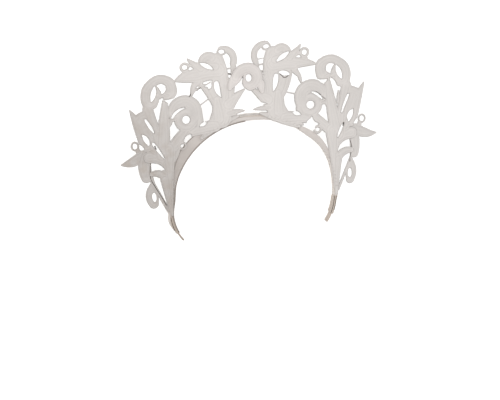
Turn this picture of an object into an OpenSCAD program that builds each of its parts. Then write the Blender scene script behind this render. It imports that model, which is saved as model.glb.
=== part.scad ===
// Crown fascinator: scrolled lace panels standing round the front edge of a padded headband
// It rests on the back edge of the band, so +X runs across the crown, +Y towards its top and +Z to its front

/* [Headband] */
// Radius of the band's inner face
band_inner_r = 79.7; // [76:0.1:84]
// Width of the band from its back edge to its front edge
band_wide = 12; // [10:0.5:14]
// Thickness of the padded band
band_thick = 3.4; // [2.6:0.1:4]
// Radius of the band's rolled edges
band_round = 1.3; // [0.6:0.1:1.3]
// Angle below the level of the arch's centre at which each arm starts to curve inwards
band_bend_angle = 4; // [0:1:12]
// Radius of that inward curve, on the inner face
band_bend_r = 45; // [35:1:60]
// Heading at which the wrapped end of each arm stops
wrap_end_angle = 26; // [20:1:30]
// Heading at which the bare tongue beyond it stops
tongue_end_angle = 38; // [32:1:44]
// How much thinner the wrapped end is than the pad, on each side
wrap_inset = 0.2; // [0.15:0.05:0.4]
// How much thinner the bare tongue is than the pad, on its two faces
tongue_inset = 0.8; // [0.6:0.1:1]
// How much narrower the bare tongue is than the pad, at each edge
tongue_side_inset = 2; // [1:0.5:3]

/* [Front strip] */
// Height of the strip at the middle of the arch
strip_tall = 3; // [2.5:0.1:4]
// How far the centre of its outer edge lies below the arch's centre, which widens its sides
strip_drop = 8; // [4:0.5:10]
// Angle above level at which the strip ends under the lace
strip_end_angle = 16; // [12:1:24]

/* [Lace] */
// Thickness of the embroidered lace
lace_thick = 1.8; // [1.4:0.1:2.2]
// How far the pattern sits above the arch's centre
lace_rise = 1; // [0:0.25:2]
// Backward lean of the two panels
panel_lean = 4; // [3:0.5:6]
// Backward lean of the side sprays
spray_lean = 7; // [5:0.5:9]
// Radius from the arch's centre at which the lace starts to lean
panel_bend_r = 87; // [86:0.5:90]
// Radius of the lace's inner corners
corner_r = 0.3; // [0.2:0.05:0.5]
// Width of the fine bars that tie neighbouring scrolls
bar_w = 1.1; // [0.9:0.1:1.4]
// Gap between pieces that are sewn together
seam = 0.2; // [0.15:0.05:0.3]

/* [Hidden] */
ARC_STEP = 12;
LEAF_STEPS = 8;
CAP_STEPS = 4;
CAP_FROM_W = 1.6;
REACH = 200;
ARM_LAP = 2;

// Leaves and stems of a lace panel, in millimetres from the arch's centre, right side:
// root x, root y, tip x, tip y, bow to the left of the way it runs, width at root, middle and tip
PANEL_LEAVES = [
    [27, 84, 19.8, 116, 1.2, 18, 15, 13.2],          // centre stem
    [23.5, 118, 27, 141, 0, 12, 14, 12],             // neck under the top curl
    [29, 84, 30.5, 103, 0, 12, 11, 9],               // foot of the branch beside it
    [33, 98, 43, 121.5, -0.7, 5.5, 6.4, 5],          // branch
    [31, 100, 35, 123, 0, 8, 15, 17],                // web between the branch and the stem
    [10.9, 136, 13.4, 116, 0, 5.2, 3.7, 5],          // foot of the top loop
    [21, 88.5, 3.8, 89.2, -0.6, 4.6, 4.2, 0.4],      // low tip over the band
    [20, 88, 13.5, 87.5, 0, 5, 4.6, 3],              // its root
    [19, 97, 2.8, 109.6, -0.6, 13, 8, 1.2],          // leaf towards the middle
    [14.6, 120, 17, 104, 0, 5, 7, 6],                // web behind it
    [27, 130.5, 47, 127.8, 0, 16, 12.5, 11.5],       // shoulder
    [29, 134, 44, 138, 0, 10, 8, 5.5],               // web under the top curl
    [46, 128.8, 68, 125.3, 0.6, 11, 8, 1.4],         // shoulder leaf
    [43.5, 134.5, 54.8, 145.2, -0.6, 9, 5.8, 1.2],   // thorn
    [53, 137, 60, 131, 0, 6, 5, 4],                  // web behind the ring under it
    [46.3, 122.4, 54.3, 109, 0.9, 6.6, 5.2, 1],      // hanging crescent
    [76, 61, 62.5, 75.5, 0, 9, 8.4, 9],              // low leaf under the eye scroll
    [34, 78, 56, 74, 1, 12, 12, 8],                  // root of the eye scroll
    [49, 76, 48.8, 95, 0, 9, 7, 5],                  // side of the eye scroll
    [71, 86.6, 77, 86.8, 0, 3, 3, 3],                // its end on the stem
    [74.4, 88, 78.2, 80.5, 0, 3, 3.6, 2],            // corner under that end
    [80.4, -4, 79.8, 60, 0, 2.4, 7, 14],             // side stem
    [81.9, -2, 86, 32, 0, 4, 5.4, 7],                // its outer strand
    [84, 60, 79.4, 105.5, 0, 13, 11, 6.5],           // stem to the eye scroll
    [86, 55, 97, 101, 0.5, 14, 9.5, 10],             // stem to the shoulder scroll
    [80, 114, 88, 119, 0, 11, 15, 15],               // web inside that scroll
    [76.5, 111.8, 89.2, 125.5, -3.2, 5, 5.4, 1],     // its curled tip
    [100, 66, 113.8, 101.6, 1.5, 8.5, 10.6, 0.4],    // outer leaf
    [95, 72, 103.5, 93, 0, 8, 11, 11],               // its middle
    [98, 94.5, 107.5, 92.4, 0, 12, 11, 8],           // its upper edge
    [85, 55, 98, 67, 0, 8, 10, 7],                   // web at its foot
    [81, 38, 99, 54.6, 4, 5, 7, 11.5],               // root of the side spray
];

// Scrolls of a panel: centre x, centre y, outer radius at start and end, start and end angle,
// tape width at start, middle and end
PANEL_SCROLLS = [
    [21, 140.3, 13.4, 12.2, 208, 80, 5, 5.9, 5],       // top loop
    [36.2, 139.2, 10.5, 8.8, 138, -8, 10, 9.6, 8.3],   // top curl
    [84, 116, 20.2, 15.7, -36, 50, 17, 15, 15],        // shoulder scroll, outer side
    [84, 116, 15.7, 17.4, 50, 140, 15, 15, 17],        // its top
    [84, 116, 17.4, 16.2, 140, 185, 17, 16, 15],       // its inner side
    [84, 116, 16.2, 12.6, 185, 216, 15, 12, 8],        // its inner end
    [61.6, 93.6, 15.6, 17.6, 240, 10, 14, 15, 15],     // eye scroll
    [95.5, 29, 14.9, 11.8, 168, 76, 8.7, 8.8, 5.5],    // small arm
    [0, 0, 87, 86, 82.5, 54, 2.6, 7, 7],               // foot along the band
];

// Rings of a panel: centre x, centre y, half width and half height of the eye, tilt, rim
PANEL_RINGS = [
    [21.8, 147.9, 3, 2.1, 5, 1.6],   // ring of the top loop
    [58.4, 137, 2.9, 2.9, 0, 2],     // ring under the thorn
    [60.7, 86.5, 4, 4, 0, 8.1],      // eye of the eye scroll
    [65.9, 62, 2, 1.8, 0, 1.9],      // small ring beside the stem
];

// Slits cut through a panel, with the columns of the leaves
PANEL_SLITS = [
    [43.6, 139.5, 31.6, 132.4, -0.3, 1, 4.4, 1],      // under the top curl
    [28.4, 119.4, 26.3, 105.2, 0.6, 5.4, 4.9, 0.9],   // between stem and branch
    [33.2, 120.6, 41.4, 117.2, 0, 2.4, 6.8, 3.6],     // over the branch
    [44.9, 119.6, 49, 114.6, 0, 0.7, 1.4, 2],         // beside the crescent
    [50.8, 134.5, 53.9, 134.2, 0.4, 0.8, 2.8, 0.8],   // under the thorn
    [42, 81.6, 49, 78.8, 0.3, 1, 4, 0.9],             // under the eye scroll
    [60.2, 74.8, 60.5, 66, 0, 0.8, 4.5, 7],           // star under the eye scroll
    [63.5, 98.2, 74, 91, 1.6, 1, 3.6, 2.4],           // round the eye scroll
    [70.9, 109.5, 79.6, 109, -1.6, 0.6, 3.5, 0.8],    // between the two scrolls
    [82.6, 115.3, 86.9, 123.3, 3.5, 0.9, 7.2, 0.9],   // in the shoulder scroll
    [88.5, 121.8, 92.9, 107.2, -0.5, 1.6, 6, 1.2],    // beside its curled tip
    [82, 110, 86.9, 88.6, 2.4, 1.2, 6, 0.8],        // between the two stems
    [99.2, 91.4, 91.8, 77, 0, 3, 3.4, 1.4],           // behind the outer leaf
    [103, 78.8, 97.6, 66.2, -1.4, 0.8, 5, 0.8],       // in the outer leaf
    [106.2, 68.6, 104.6, 64.5, 0, 0.6, 3, 4.6],       // beside the outer ring
    [93.2, 66.6, 84.8, 51.5, -0.3, 1.8, 3, 1],        // long spear at its foot
];

// Fine bars: x, y, x, y
PANEL_BARS = [
    [13.5, 131.3, 19, 131.6],
    [14, 125.6, 18.5, 125.4],
    [35.5, 103, 47, 99],
];

// Leaves and rings of a side spray, with the columns used above
SPRAY_LEAVES = [
    [104, 57, 125, 50.9, -2, 10.5, 8.8, 1],          // pointed leaf
    [101.8, 57.8, 101.9, 33.2, 1.2, 8, 10.4, 8.8],   // curled leaf
    [97.6, 30, 84.2, 0.5, 0, 3.4, 3.2, 3.2],         // strand to the foot
    [98.3, 26.5, 97, 8.2, 0.8, 3.5, 11.6, 9.2],      // hanging loop
    [107, 57, 109.3, 62.6, 0, 6, 5, 4],              // stalk of the ring
];
SPRAY_RINGS = [
    [111, 65.6, 2.3, 2.9, 0, 1.7],     // outer ring
    [96.2, 14.2, 2.2, 4.9, -3, 1.4],   // eye of the hanging loop
];

// The extra scroll at the middle, which crosses from the left panel to the right one
CENTRE_LEAVES = [
    [-17.4, 112.4, -9, 123.4, 0.9, 4, 9, 9.5],   // tail on the left panel
    [12.5, 114, 13.5, 106, 0, 8, 7, 4],          // end on the right panel
];
CENTRE_SCROLLS = [
    [1.7, 120.1, 17.4, 14.6, 172, 90, 9.5, 11, 11],   // over the top
    [1.7, 120.1, 14.6, 11.6, 90, -86, 11, 10, 8],     // down its right side
    [1.7, 120.1, 11.6, 5.2, -86, -190, 8, 4.6, 2],    // round the eye to its end
];
CENTRE_RINGS = [
    [1.5, 120.5, 3.1, 3.8, 0, 2.4],   // its eye
];

// Levels from the floor up
STRIP_Z = band_wide + seam;
STRIP_THICK = 1.2;
PANEL_Z = STRIP_Z + STRIP_THICK + seam;
CENTRE_Z = PANEL_Z + lace_thick + seam;
SPRAY_Z = PANEL_Z - lace_thick - seam;
BEND_CENTRE = (band_inner_r - band_bend_r) * [cos(band_bend_angle), -sin(band_bend_angle)];

// Heights of the highest and lowest points, which place the crown's middle over the origin
TOP_Y = 152.6 + lace_rise;
LOW_Y = BEND_CENTRE[1] - (band_bend_r + band_thick - tongue_inset) * sin(tongue_end_angle);
MIDDLE_Y = (TOP_Y + LOW_Y) / 2;

// Width at the fraction t of a way, through its three given widths
function width_at(t, a, m, b) = a * (1 - t) * (1 - 2 * t) + 4 * m * t * (1 - t) + b * t * (2 * t - 1);

// Round end about point c, starting from direction a and turning clockwise by half a circle
function cap(c, radius, a) = radius * 2 < CAP_FROM_W ? [c] :
    [for (i = [1:CAP_STEPS - 1]) c + radius * [cos(a - 180 * i / CAP_STEPS), sin(a - 180 * i / CAP_STEPS)]];

function leaf_point(r, t) = [r[0] + (r[2] - r[0]) * t, r[1] + (r[3] - r[1]) * t]
    + 4 * r[4] * t * (1 - t) * leaf_side(r);
function leaf_side(r) = [r[1] - r[3], r[2] - r[0]] / norm([r[1] - r[3], r[2] - r[0]]);
function leaf_slope(r, t) = [r[2] - r[0], r[3] - r[1]] + 4 * r[4] * (1 - 2 * t) * leaf_side(r);
function leaf_heading(r, t) = let (d = leaf_slope(r, t)) atan2(d[1], d[0]);
function leaf_edge(r, t, side) = let (h = leaf_heading(r, t) + 90 * side)
    leaf_point(r, t) + width_at(t, r[5], r[6], r[7]) / 2 * [cos(h), sin(h)];

// Outline of a leaf: up its left edge, round the tip, down its right edge, round the root
function leaf_outline(r) = concat(
    [for (i = [0:LEAF_STEPS]) leaf_edge(r, i / LEAF_STEPS, 1)],
    cap(leaf_point(r, 1), r[7] / 2, leaf_heading(r, 1) + 90),
    [for (i = [LEAF_STEPS:-1:0]) leaf_edge(r, i / LEAF_STEPS, -1)],
    cap(leaf_point(r, 0), r[5] / 2, leaf_heading(r, 0) - 90));

function scroll_point(r, t, inward) = let (a = r[4] + (r[5] - r[4]) * t)
    [r[0], r[1]] + (r[2] + (r[3] - r[2]) * t - inward) * [cos(a), sin(a)];
function scroll_width(r, t) = width_at(t, r[6], r[7], r[8]);

// Outline of a scroll, whose outer edge runs first
function scroll_outline(r) = let (
    n = ceil(abs(r[5] - r[4]) / ARC_STEP),
    turn = r[5] > r[4] ? -1 : 1) concat(
    [for (i = [0:n]) scroll_point(r, i / n, 0)],
    [for (p = cap([0, 0], scroll_width(r, 1) / 2, 0))
        scroll_point(r, 1, scroll_width(r, 1) / 2) + turned(p, r[5], turn)],
    [for (i = [n:-1:0]) scroll_point(r, i / n, scroll_width(r, i / n))],
    [for (p = cap([0, 0], scroll_width(r, 0) / 2, 180))
        scroll_point(r, 0, scroll_width(r, 0) / 2) + turned(p, r[4], turn)]);

// Point p turned by the angle a, first mirrored where turn is -1
function turned(p, a, turn) = [p[0] * cos(a) - p[1] * turn * sin(a), p[0] * sin(a) + p[1] * turn * cos(a)];

function oval(r, grow) = [for (a = [0:ARC_STEP * 1.25:359]) [r[0], r[1]]
    + turned([(r[2] + grow) * cos(a), (r[3] + grow) * sin(a)], r[4], 1)];

module leaves(rows) for (r = rows) polygon(leaf_outline(r));
module scrolls(rows) for (r = rows) polygon(scroll_outline(r));
module ring_rims(rows) for (r = rows) polygon(oval(r, r[5]));
module ring_eyes(rows) for (r = rows) polygon(oval(r, 0));
module bars(rows) for (r = rows) polygon(leaf_outline([r[0], r[1], r[2], r[3], 0, bar_w, bar_w, bar_w]));

// A pattern's pieces run together, with their inner corners rounded as thread rounds them
module joined_up() {
    offset(r = -corner_r, $fn = 16) offset(delta = corner_r) children();
}

// A cone shell, level out to the bend and leaning back beyond it
module leaning_shell(z, bend_r, lean) {
    drop = (REACH - bend_r) * tan(lean);
    rotate_extrude($fn = 180) polygon([[0, z], [bend_r, z], [REACH, z - drop],
        [REACH, z - drop + lace_thick], [bend_r, z + lace_thick], [0, z + lace_thick]]);
}

module panel_pattern() {
    difference() {
        union() {
            leaves(PANEL_LEAVES);
            scrolls(PANEL_SCROLLS);
            ring_rims(PANEL_RINGS);
            bars(PANEL_BARS);
        }
        leaves(PANEL_SLITS);
        ring_eyes(PANEL_RINGS);
    }
}

module spray_pattern() {
    difference() {
        union() {
            leaves(SPRAY_LEAVES);
            ring_rims(SPRAY_RINGS);
        }
        ring_eyes(SPRAY_RINGS);
    }
}

module centre_pattern() {
    difference() {
        union() {
            leaves(CENTRE_LEAVES);
            scrolls(CENTRE_SCROLLS);
            ring_rims(CENTRE_RINGS);
        }
        ring_eyes(CENTRE_RINGS);
    }
}

module lace_panel() {
    intersection() {
        linear_extrude(CENTRE_Z) translate([0, lace_rise]) joined_up() panel_pattern();
        leaning_shell(PANEL_Z, panel_bend_r, panel_lean);
    }
}

module side_spray() {
    intersection() {
        linear_extrude(CENTRE_Z) translate([0, lace_rise]) joined_up() spray_pattern();
        leaning_shell(SPRAY_Z, panel_bend_r, spray_lean);
    }
}

// Cross-section of a flat band with rolled edges, whose inner face lies at the given radius
module band_section(inner_r, thick, wide, round_r) {
    translate([inner_r, round_r]) square([thick, wide - 2 * round_r]);
    translate([inner_r + round_r, 0]) square([thick - 2 * round_r, wide]);
    for (x = [round_r, thick - round_r], y = [round_r, wide - round_r])
        translate([inner_r + x, y]) circle(round_r, $fn = 24);
}

// A length of the right arm along its inward curve, thinner than the pad by the inset on every side
module arm_length(from_angle, to_angle, inset, side_inset) {
    translate(BEND_CENTRE) rotate([0, 0, -to_angle]) translate([0, 0, side_inset])
        rotate_extrude(angle = to_angle - from_angle, $fn = 180)
            band_section(band_bend_r + inset, band_thick - 2 * inset, band_wide - 2 * side_inset,
                band_round - inset);
}

module right_arm() {
    arm_length(band_bend_angle - ARM_LAP, wrap_end_angle, wrap_inset, wrap_inset);
    arm_length(wrap_end_angle - ARM_LAP, tongue_end_angle, tongue_inset, tongue_side_inset);
}

module headband() {
    color("#e6dfda") translate([0, -MIDDLE_Y, 0]) {
        rotate([0, 0, -band_bend_angle]) rotate_extrude(angle = 180 + 2 * band_bend_angle, $fn = 180)
            band_section(band_inner_r, band_thick, band_wide, band_round);
        right_arm();
        mirror([1, 0, 0]) right_arm();
    }
}

module front_strip() {
    color("#eeeae6") translate([0, -MIDDLE_Y, STRIP_Z]) linear_extrude(STRIP_THICK) difference() {
        translate([0, -strip_drop]) circle(band_inner_r + strip_tall + strip_drop, $fn = 180);
        circle(band_inner_r, $fn = 180);
        polygon([[0, 0], REACH * [cos(strip_end_angle), sin(strip_end_angle)], [REACH, -REACH],
            [-REACH, -REACH], REACH * [-cos(strip_end_angle), sin(strip_end_angle)]]);
    }
}

module right_lace_panel() {
    color("#f1eeea") translate([0, -MIDDLE_Y, 0]) lace_panel();
}

module left_lace_panel() {
    color("#f1eeea") translate([0, -MIDDLE_Y, 0]) mirror([1, 0, 0]) lace_panel();
}

module right_side_spray() {
    color("#ebe7e3") translate([0, -MIDDLE_Y, 0]) side_spray();
}

module left_side_spray() {
    color("#ebe7e3") translate([0, -MIDDLE_Y, 0]) mirror([1, 0, 0]) side_spray();
}

module centre_scroll() {
    color("#f3f0ec") translate([0, -MIDDLE_Y, 0]) intersection() {
        linear_extrude(CENTRE_Z + lace_thick) translate([0, lace_rise]) joined_up() centre_pattern();
        leaning_shell(CENTRE_Z, panel_bend_r, panel_lean);
    }
}

headband();
front_strip();
left_lace_panel();
right_lace_panel();
left_side_spray();
right_side_spray();
centre_scroll();
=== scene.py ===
# %% [markdown]
# # A lace crown on a padded headband
# The crown is cut guipure lace, which is dense satin embroidery with open spaces between its scrolls.
# It is stiffened, sewn to the front edge of a headband wrapped in cloth, and it lies on its back here.
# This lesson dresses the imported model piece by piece, in metres and in the model's own frame.

# %% Load the model
import math

import bpy
import numpy as np
from mathutils import Matrix, Vector


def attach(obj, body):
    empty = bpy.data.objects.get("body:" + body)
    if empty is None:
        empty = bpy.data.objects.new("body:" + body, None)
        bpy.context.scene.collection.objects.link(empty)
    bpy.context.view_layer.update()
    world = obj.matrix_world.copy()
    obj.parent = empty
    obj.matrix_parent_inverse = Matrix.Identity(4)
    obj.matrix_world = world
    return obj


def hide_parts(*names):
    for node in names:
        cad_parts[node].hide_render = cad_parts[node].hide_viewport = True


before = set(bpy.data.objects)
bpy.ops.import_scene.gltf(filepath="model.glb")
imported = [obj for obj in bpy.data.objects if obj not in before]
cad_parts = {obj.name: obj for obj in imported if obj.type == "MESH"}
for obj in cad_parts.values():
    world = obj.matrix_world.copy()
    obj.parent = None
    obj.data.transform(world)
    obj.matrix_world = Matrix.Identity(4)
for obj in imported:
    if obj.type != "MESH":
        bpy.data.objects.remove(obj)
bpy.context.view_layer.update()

# %% [markdown]
# ## Sizes that the pieces share
# The pattern is drawn in millimetres from the centre of the headband's arch, with x to the right and y up.
# The model's own origin lies lower, in the middle of its height, so each piece is moved down by that much.

# %% Shared sizes in millimetres
MM = 0.001
band_inner_r, band_wide, band_thick = 79.7, 12.0, 3.4
bend_angle, bend_r, wrap_end, tongue_end = 4.0, 45.0, 26.0, 38.0
strip_z, strip_thick = 12.2, 1.2
lace_thick, lace_rise, lace_bend_r = 1.8, 1.0, 87.0
panel_z, centre_z, spray_z = 13.6, 15.6, 11.6
panel_lean, spray_lean = 4.0, 7.0
bend_way = np.array([math.cos(math.radians(bend_angle)), -math.sin(math.radians(bend_angle))])
bend_centre = (band_inner_r - bend_r) * bend_way
lace_top = 152.6
low_y = bend_centre[1] - (bend_r + band_thick - 0.8) * math.sin(math.radians(tongue_end))
middle_y = (lace_top + lace_rise + low_y) / 2
print("arch centre lies", round(middle_y, 2), "mm below the origin")


# %% Put points measured from the arch into the model's frame
def in_frame(points_mm):
    """Arch millimetres to frame metres."""
    return (np.asarray(points_mm, float) - [0, middle_y, 0]) * MM


def lace_level(radius, z, lean):
    """Height of a lace piece's back, which is level out to the bend and leans back beyond it."""
    return z - np.maximum(0, radius - lace_bend_r) * math.tan(math.radians(lean))


# %% [markdown]
# ## The pattern as motifs
# Guipure is sewn motif by motif, so each motif is a short list of bands in the order of sewing.
# A leaf runs from a root to a tip with a bow, a scroll is a tape that follows an arc, and a ring is an oval
# eye with a rim. A web is a leaf too, and it only fills the corner between two motifs.
# The columns of a leaf are its root's x and y, its tip's x and y, its bow, and its width at root, middle and
# tip. Those of a scroll are the centre's x and y, the outer radius at its start and end, the angles of both,
# and the three widths. Those of a ring are the centre's x and y, half the width and height of its eye, its
# tilt and its rim. Lengths are in millimetres and angles in degrees.

# %% Words for the three kinds of band
def leaf(*row):
    return ("leaf", row)


def scroll(*row):
    return ("scroll", row)


def ring(*row):
    return ("ring", row)


print("a leaf's row reads", leaf(0, 0, 10, 0, 1, 2, 4, 1))


# %% Motifs of a lace panel, bottom layer first
panel_motifs = [
    ("foot", [scroll(0, 0, 87, 84.8, 82.5, 55, 2.6, 5.6, 3.4)]),
    ("centre stem", [leaf(27, 84, 19.8, 116, 1.2, 18, 15, 13.2), leaf(31, 100, 35, 123, 0, 8, 15, 17),
                     leaf(23.5, 118, 27, 141, 0, 12, 14, 12)]),
    ("branch", [leaf(29.6, 84, 30.4, 103, 0, 12.4, 10.8, 8.4), leaf(32.6, 98, 44, 121, 0.5, 4.8, 5.8, 7),
                leaf(33.8, 92.5, 37.8, 82, 0, 3, 3.4, 3.8)]),
    ("low tip", [leaf(21, 88.5, 3.8, 89.2, -0.6, 4.6, 4.2, 0.4), leaf(20, 88, 13.5, 87.5, 0, 5, 4.6, 3)]),
    ("middle leaf", [leaf(19, 97, 2.8, 109.6, -0.6, 13, 8, 1.2), leaf(14.6, 120, 17, 104, 0, 5, 7, 6)]),
    ("crescent", [leaf(46.8, 122, 54.4, 109, 1.1, 8.6, 6.4, 1.2), leaf(45, 119, 49, 115.4, 0, 3, 4, 3)]),
    ("shoulder", [leaf(27, 130.5, 47, 127.8, 0, 16, 12.5, 11.5),
                  leaf(46, 128.2, 68.6, 125, 1, 13, 11.4, 2.2)]),
    ("thorn", [leaf(53, 137, 59.8, 131.2, 0, 6, 4.8, 3.8),
               leaf(43.5, 133.8, 55.2, 144.3, -0.6, 9, 5.8, 1.6)]),
    ("top curl", [leaf(29, 134, 44, 138, 0, 10, 8, 5.5),
                  scroll(36.2, 139.2, 10.5, 8.8, 138, -8, 10, 9.6, 8.3)]),
    ("top loop", [leaf(11.7, 136, 13.8, 116, 0, 6.1, 4.1, 5),
                  scroll(21.2, 140.6, 13.55, 12.5, 208, 80, 5.9, 6.6, 5.2)]),
    ("low leaf", [leaf(76, 62.4, 62.5, 76.6, 0, 10, 10.4, 9), leaf(70, 61, 75.5, 49, 0, 3.4, 4.4, 3)]),
    ("eye scroll", [leaf(34, 78, 56, 74, 1, 11.6, 11.4, 8), leaf(48.5, 76, 48.3, 95, 0, 9, 7, 5),
                    scroll(61.6, 93.8, 15.6, 17.2, 240, 10, 14, 15, 15), ring(61.2, 87, 3.9, 4, 0, 7.3)]),
    ("eye joint", [leaf(71.4, 87.9, 77, 88, 0, 2.6, 3, 3), leaf(75.4, 89, 77.8, 82, 0, 3.4, 3.6, 1.2)]),
    ("outer leaf", [leaf(95, 72, 103.5, 93, 0, 8, 11, 11), leaf(98, 94.5, 107.5, 92.4, 0, 12, 11, 8),
                    leaf(100.6, 66, 114.2, 102, 1.2, 12, 10.6, 0.7), leaf(85, 55, 98, 67, 0, 8, 10, 7)]),
    ("spray root", [leaf(81, 38, 99, 54.6, 4, 5, 7, 11.5)]),
    ("small arm", [scroll(95.5, 29, 15.1, 11.8, 168, 76, 7.2, 6.8, 4.8),
                   leaf(84, 38, 87, 40.3, 0, 3.2, 2.6, 1.8)]),
    ("outer strand", [leaf(82, -2, 86.1, 32, 0, 2.8, 5.2, 8)]),
    ("shoulder scroll", [leaf(86, 55, 97, 101, 0.5, 14, 9.5, 10),
                         scroll(84, 116, 21, 17.7, -36, 8, 17, 16, 15.5),
                         scroll(84, 116, 17.7, 15.9, 8, 50, 15.5, 15, 15),
                         scroll(84, 116, 15.9, 17, 50, 140, 15, 15.6, 17),
                         scroll(84, 116, 17, 16, 140, 185, 17, 16, 15),
                         scroll(84, 116, 16, 12.8, 185, 220, 15, 12, 8),
                         leaf(80, 114, 88, 119, 0, 11, 15, 15)]),
    ("curl tip", [leaf(76.5, 111.8, 89.2, 125.5, -3.2, 5, 5.4, 1)]),
    ("side stem", [leaf(81, -4, 80.4, 60, 0, 2, 6.2, 14), leaf(85.2, 60, 80.7, 104.8, 0, 12.8, 11, 6.5)]),
    ("loop ring", [ring(22.2, 147.9, 3, 2.1, 5, 1.6)]),
    ("thorn ring", [ring(58.6, 136.9, 2.6, 2.4, 0, 2.2)]),
    ("stem ring", [ring(66.5, 62.2, 2.2, 2, 0, 1.9)]),
    ("bars", [leaf(14, 131, 19, 131.2, 0, 1.1, 1.1, 1.1),
              leaf(14.4, 125.6, 18.5, 125.8, 0, 1.3, 1.3, 1.3), leaf(36.5, 105.5, 47, 99.2, 0, 1, 1, 1)]),
]
panel_slits = [
    ("curl", [leaf(43.8, 139.1, 31.8, 132.1, -0.3, 1, 4.4, 1)]),
    ("branch", [leaf(29.4, 118.3, 26.1, 105.2, 1.1, 4.8, 5.2, 1)]),
    ("over the branch", [leaf(34.7, 120.7, 42, 119.9, 0, 2.6, 2.8, 1.6),
                         leaf(35.6, 118, 37.2, 114, 0, 3.2, 4.2, 1.2),
                         leaf(36.4, 117.5, 41, 116.8, 0, 3, 2.2, 1)]),
    ("foot", [leaf(41.8, 82, 48.6, 79.1, 0.3, 1, 3.8, 0.9)]),
    ("eye scroll", [leaf(61.9, 98.3, 74.2, 90.4, 1.7, 1.1, 2.8, 2.5)]),
    ("shoulder tear", [leaf(88.7, 121.6, 93.1, 107.8, -0.5, 1.5, 5.3, 1.2)]),
    ("shoulder eye", [leaf(82.4, 114.2, 86.5, 122.2, 3.4, 0.9, 7.2, 0.9)]),
    ("beside the stem", [leaf(82.2, 110, 87, 90.4, 1.8, 1.2, 4.1, 0.8)]),
    ("outer leaf, high", [leaf(99.9, 91, 93, 78.1, 0, 2.1, 3.4, 1.4)]),
    ("outer leaf, low", [leaf(104.1, 76.8, 98.6, 66.6, -0.7, 1.3, 5, 2.2)]),
    ("spray root", [leaf(94.2, 67.2, 84.9, 52.2, 0, 3, 3, 1)]),
    ("under the shoulder", [leaf(71.9, 108.6, 80.2, 107.8, -1.6, 0.6, 3.2, 0.8)]),
    ("low leaf", [leaf(63, 67.4, 58.8, 71.2, 0, 3.6, 5, 3.4)]),
    ("thorn", [leaf(50.8, 134.5, 53.9, 134.2, 0.4, 0.8, 2.8, 0.8)]),
    ("outer ring", [leaf(106.8, 67.5, 105.4, 63.6, 0, 0.8, 3, 4.6)]),
    ("crescent", [leaf(44.9, 119.6, 49, 114.6, 0, 0.7, 1.4, 2)]),
]
print(len(panel_motifs), "motifs and", len(panel_slits), "slits in a panel")

# %% Motifs of a side spray and of the middle scroll
spray_motifs = [
    ("strand", [leaf(97.6, 30, 84.2, 0.5, 0, 3.4, 3.2, 3.2), leaf(97.4, 34, 97, 29, 0, 2.4, 3, 3.4)]),
    ("hanging loop", [leaf(98.7, 26.5, 97.5, 8.4, 0.8, 3.5, 11.4, 9.2),
                      ring(96.6, 14.8, 2.2, 4.7, -3, 1.4)]),
    ("stalk", [leaf(107, 57, 109.3, 62.6, 0, 6, 5, 4)]),
    ("pointed leaf", [leaf(104, 56.6, 125.4, 48.9, -2, 8.8, 9.4, 1)]),
    ("curled leaf", [leaf(102.1, 57.8, 102.5, 34.3, 1.2, 7.2, 11.9, 9.8)]),
    ("outer ring", [ring(111, 65.6, 2.3, 2.9, 0, 1.7)]),
]
centre_motifs = [
    ("tail", [leaf(-17.4, 112.4, -9, 123.4, 0.9, 4, 9, 9.5), leaf(12.5, 114, 13.5, 106, 0, 8, 7, 4)]),
    ("turn", [scroll(1.7, 120.1, 17.4, 14.6, 172, 90, 9.5, 11, 11),
              scroll(1.7, 120.1, 14.6, 11.6, 90, -86, 11, 10, 8),
              scroll(1.7, 120.1, 11.6, 5.2, -86, -190, 8, 4.6, 2), ring(1.5, 120.5, 3.1, 3.8, 0, 2.4)]),
]
print(len(spray_motifs), "motifs in a spray,", len(centre_motifs), "in the middle scroll")

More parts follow.
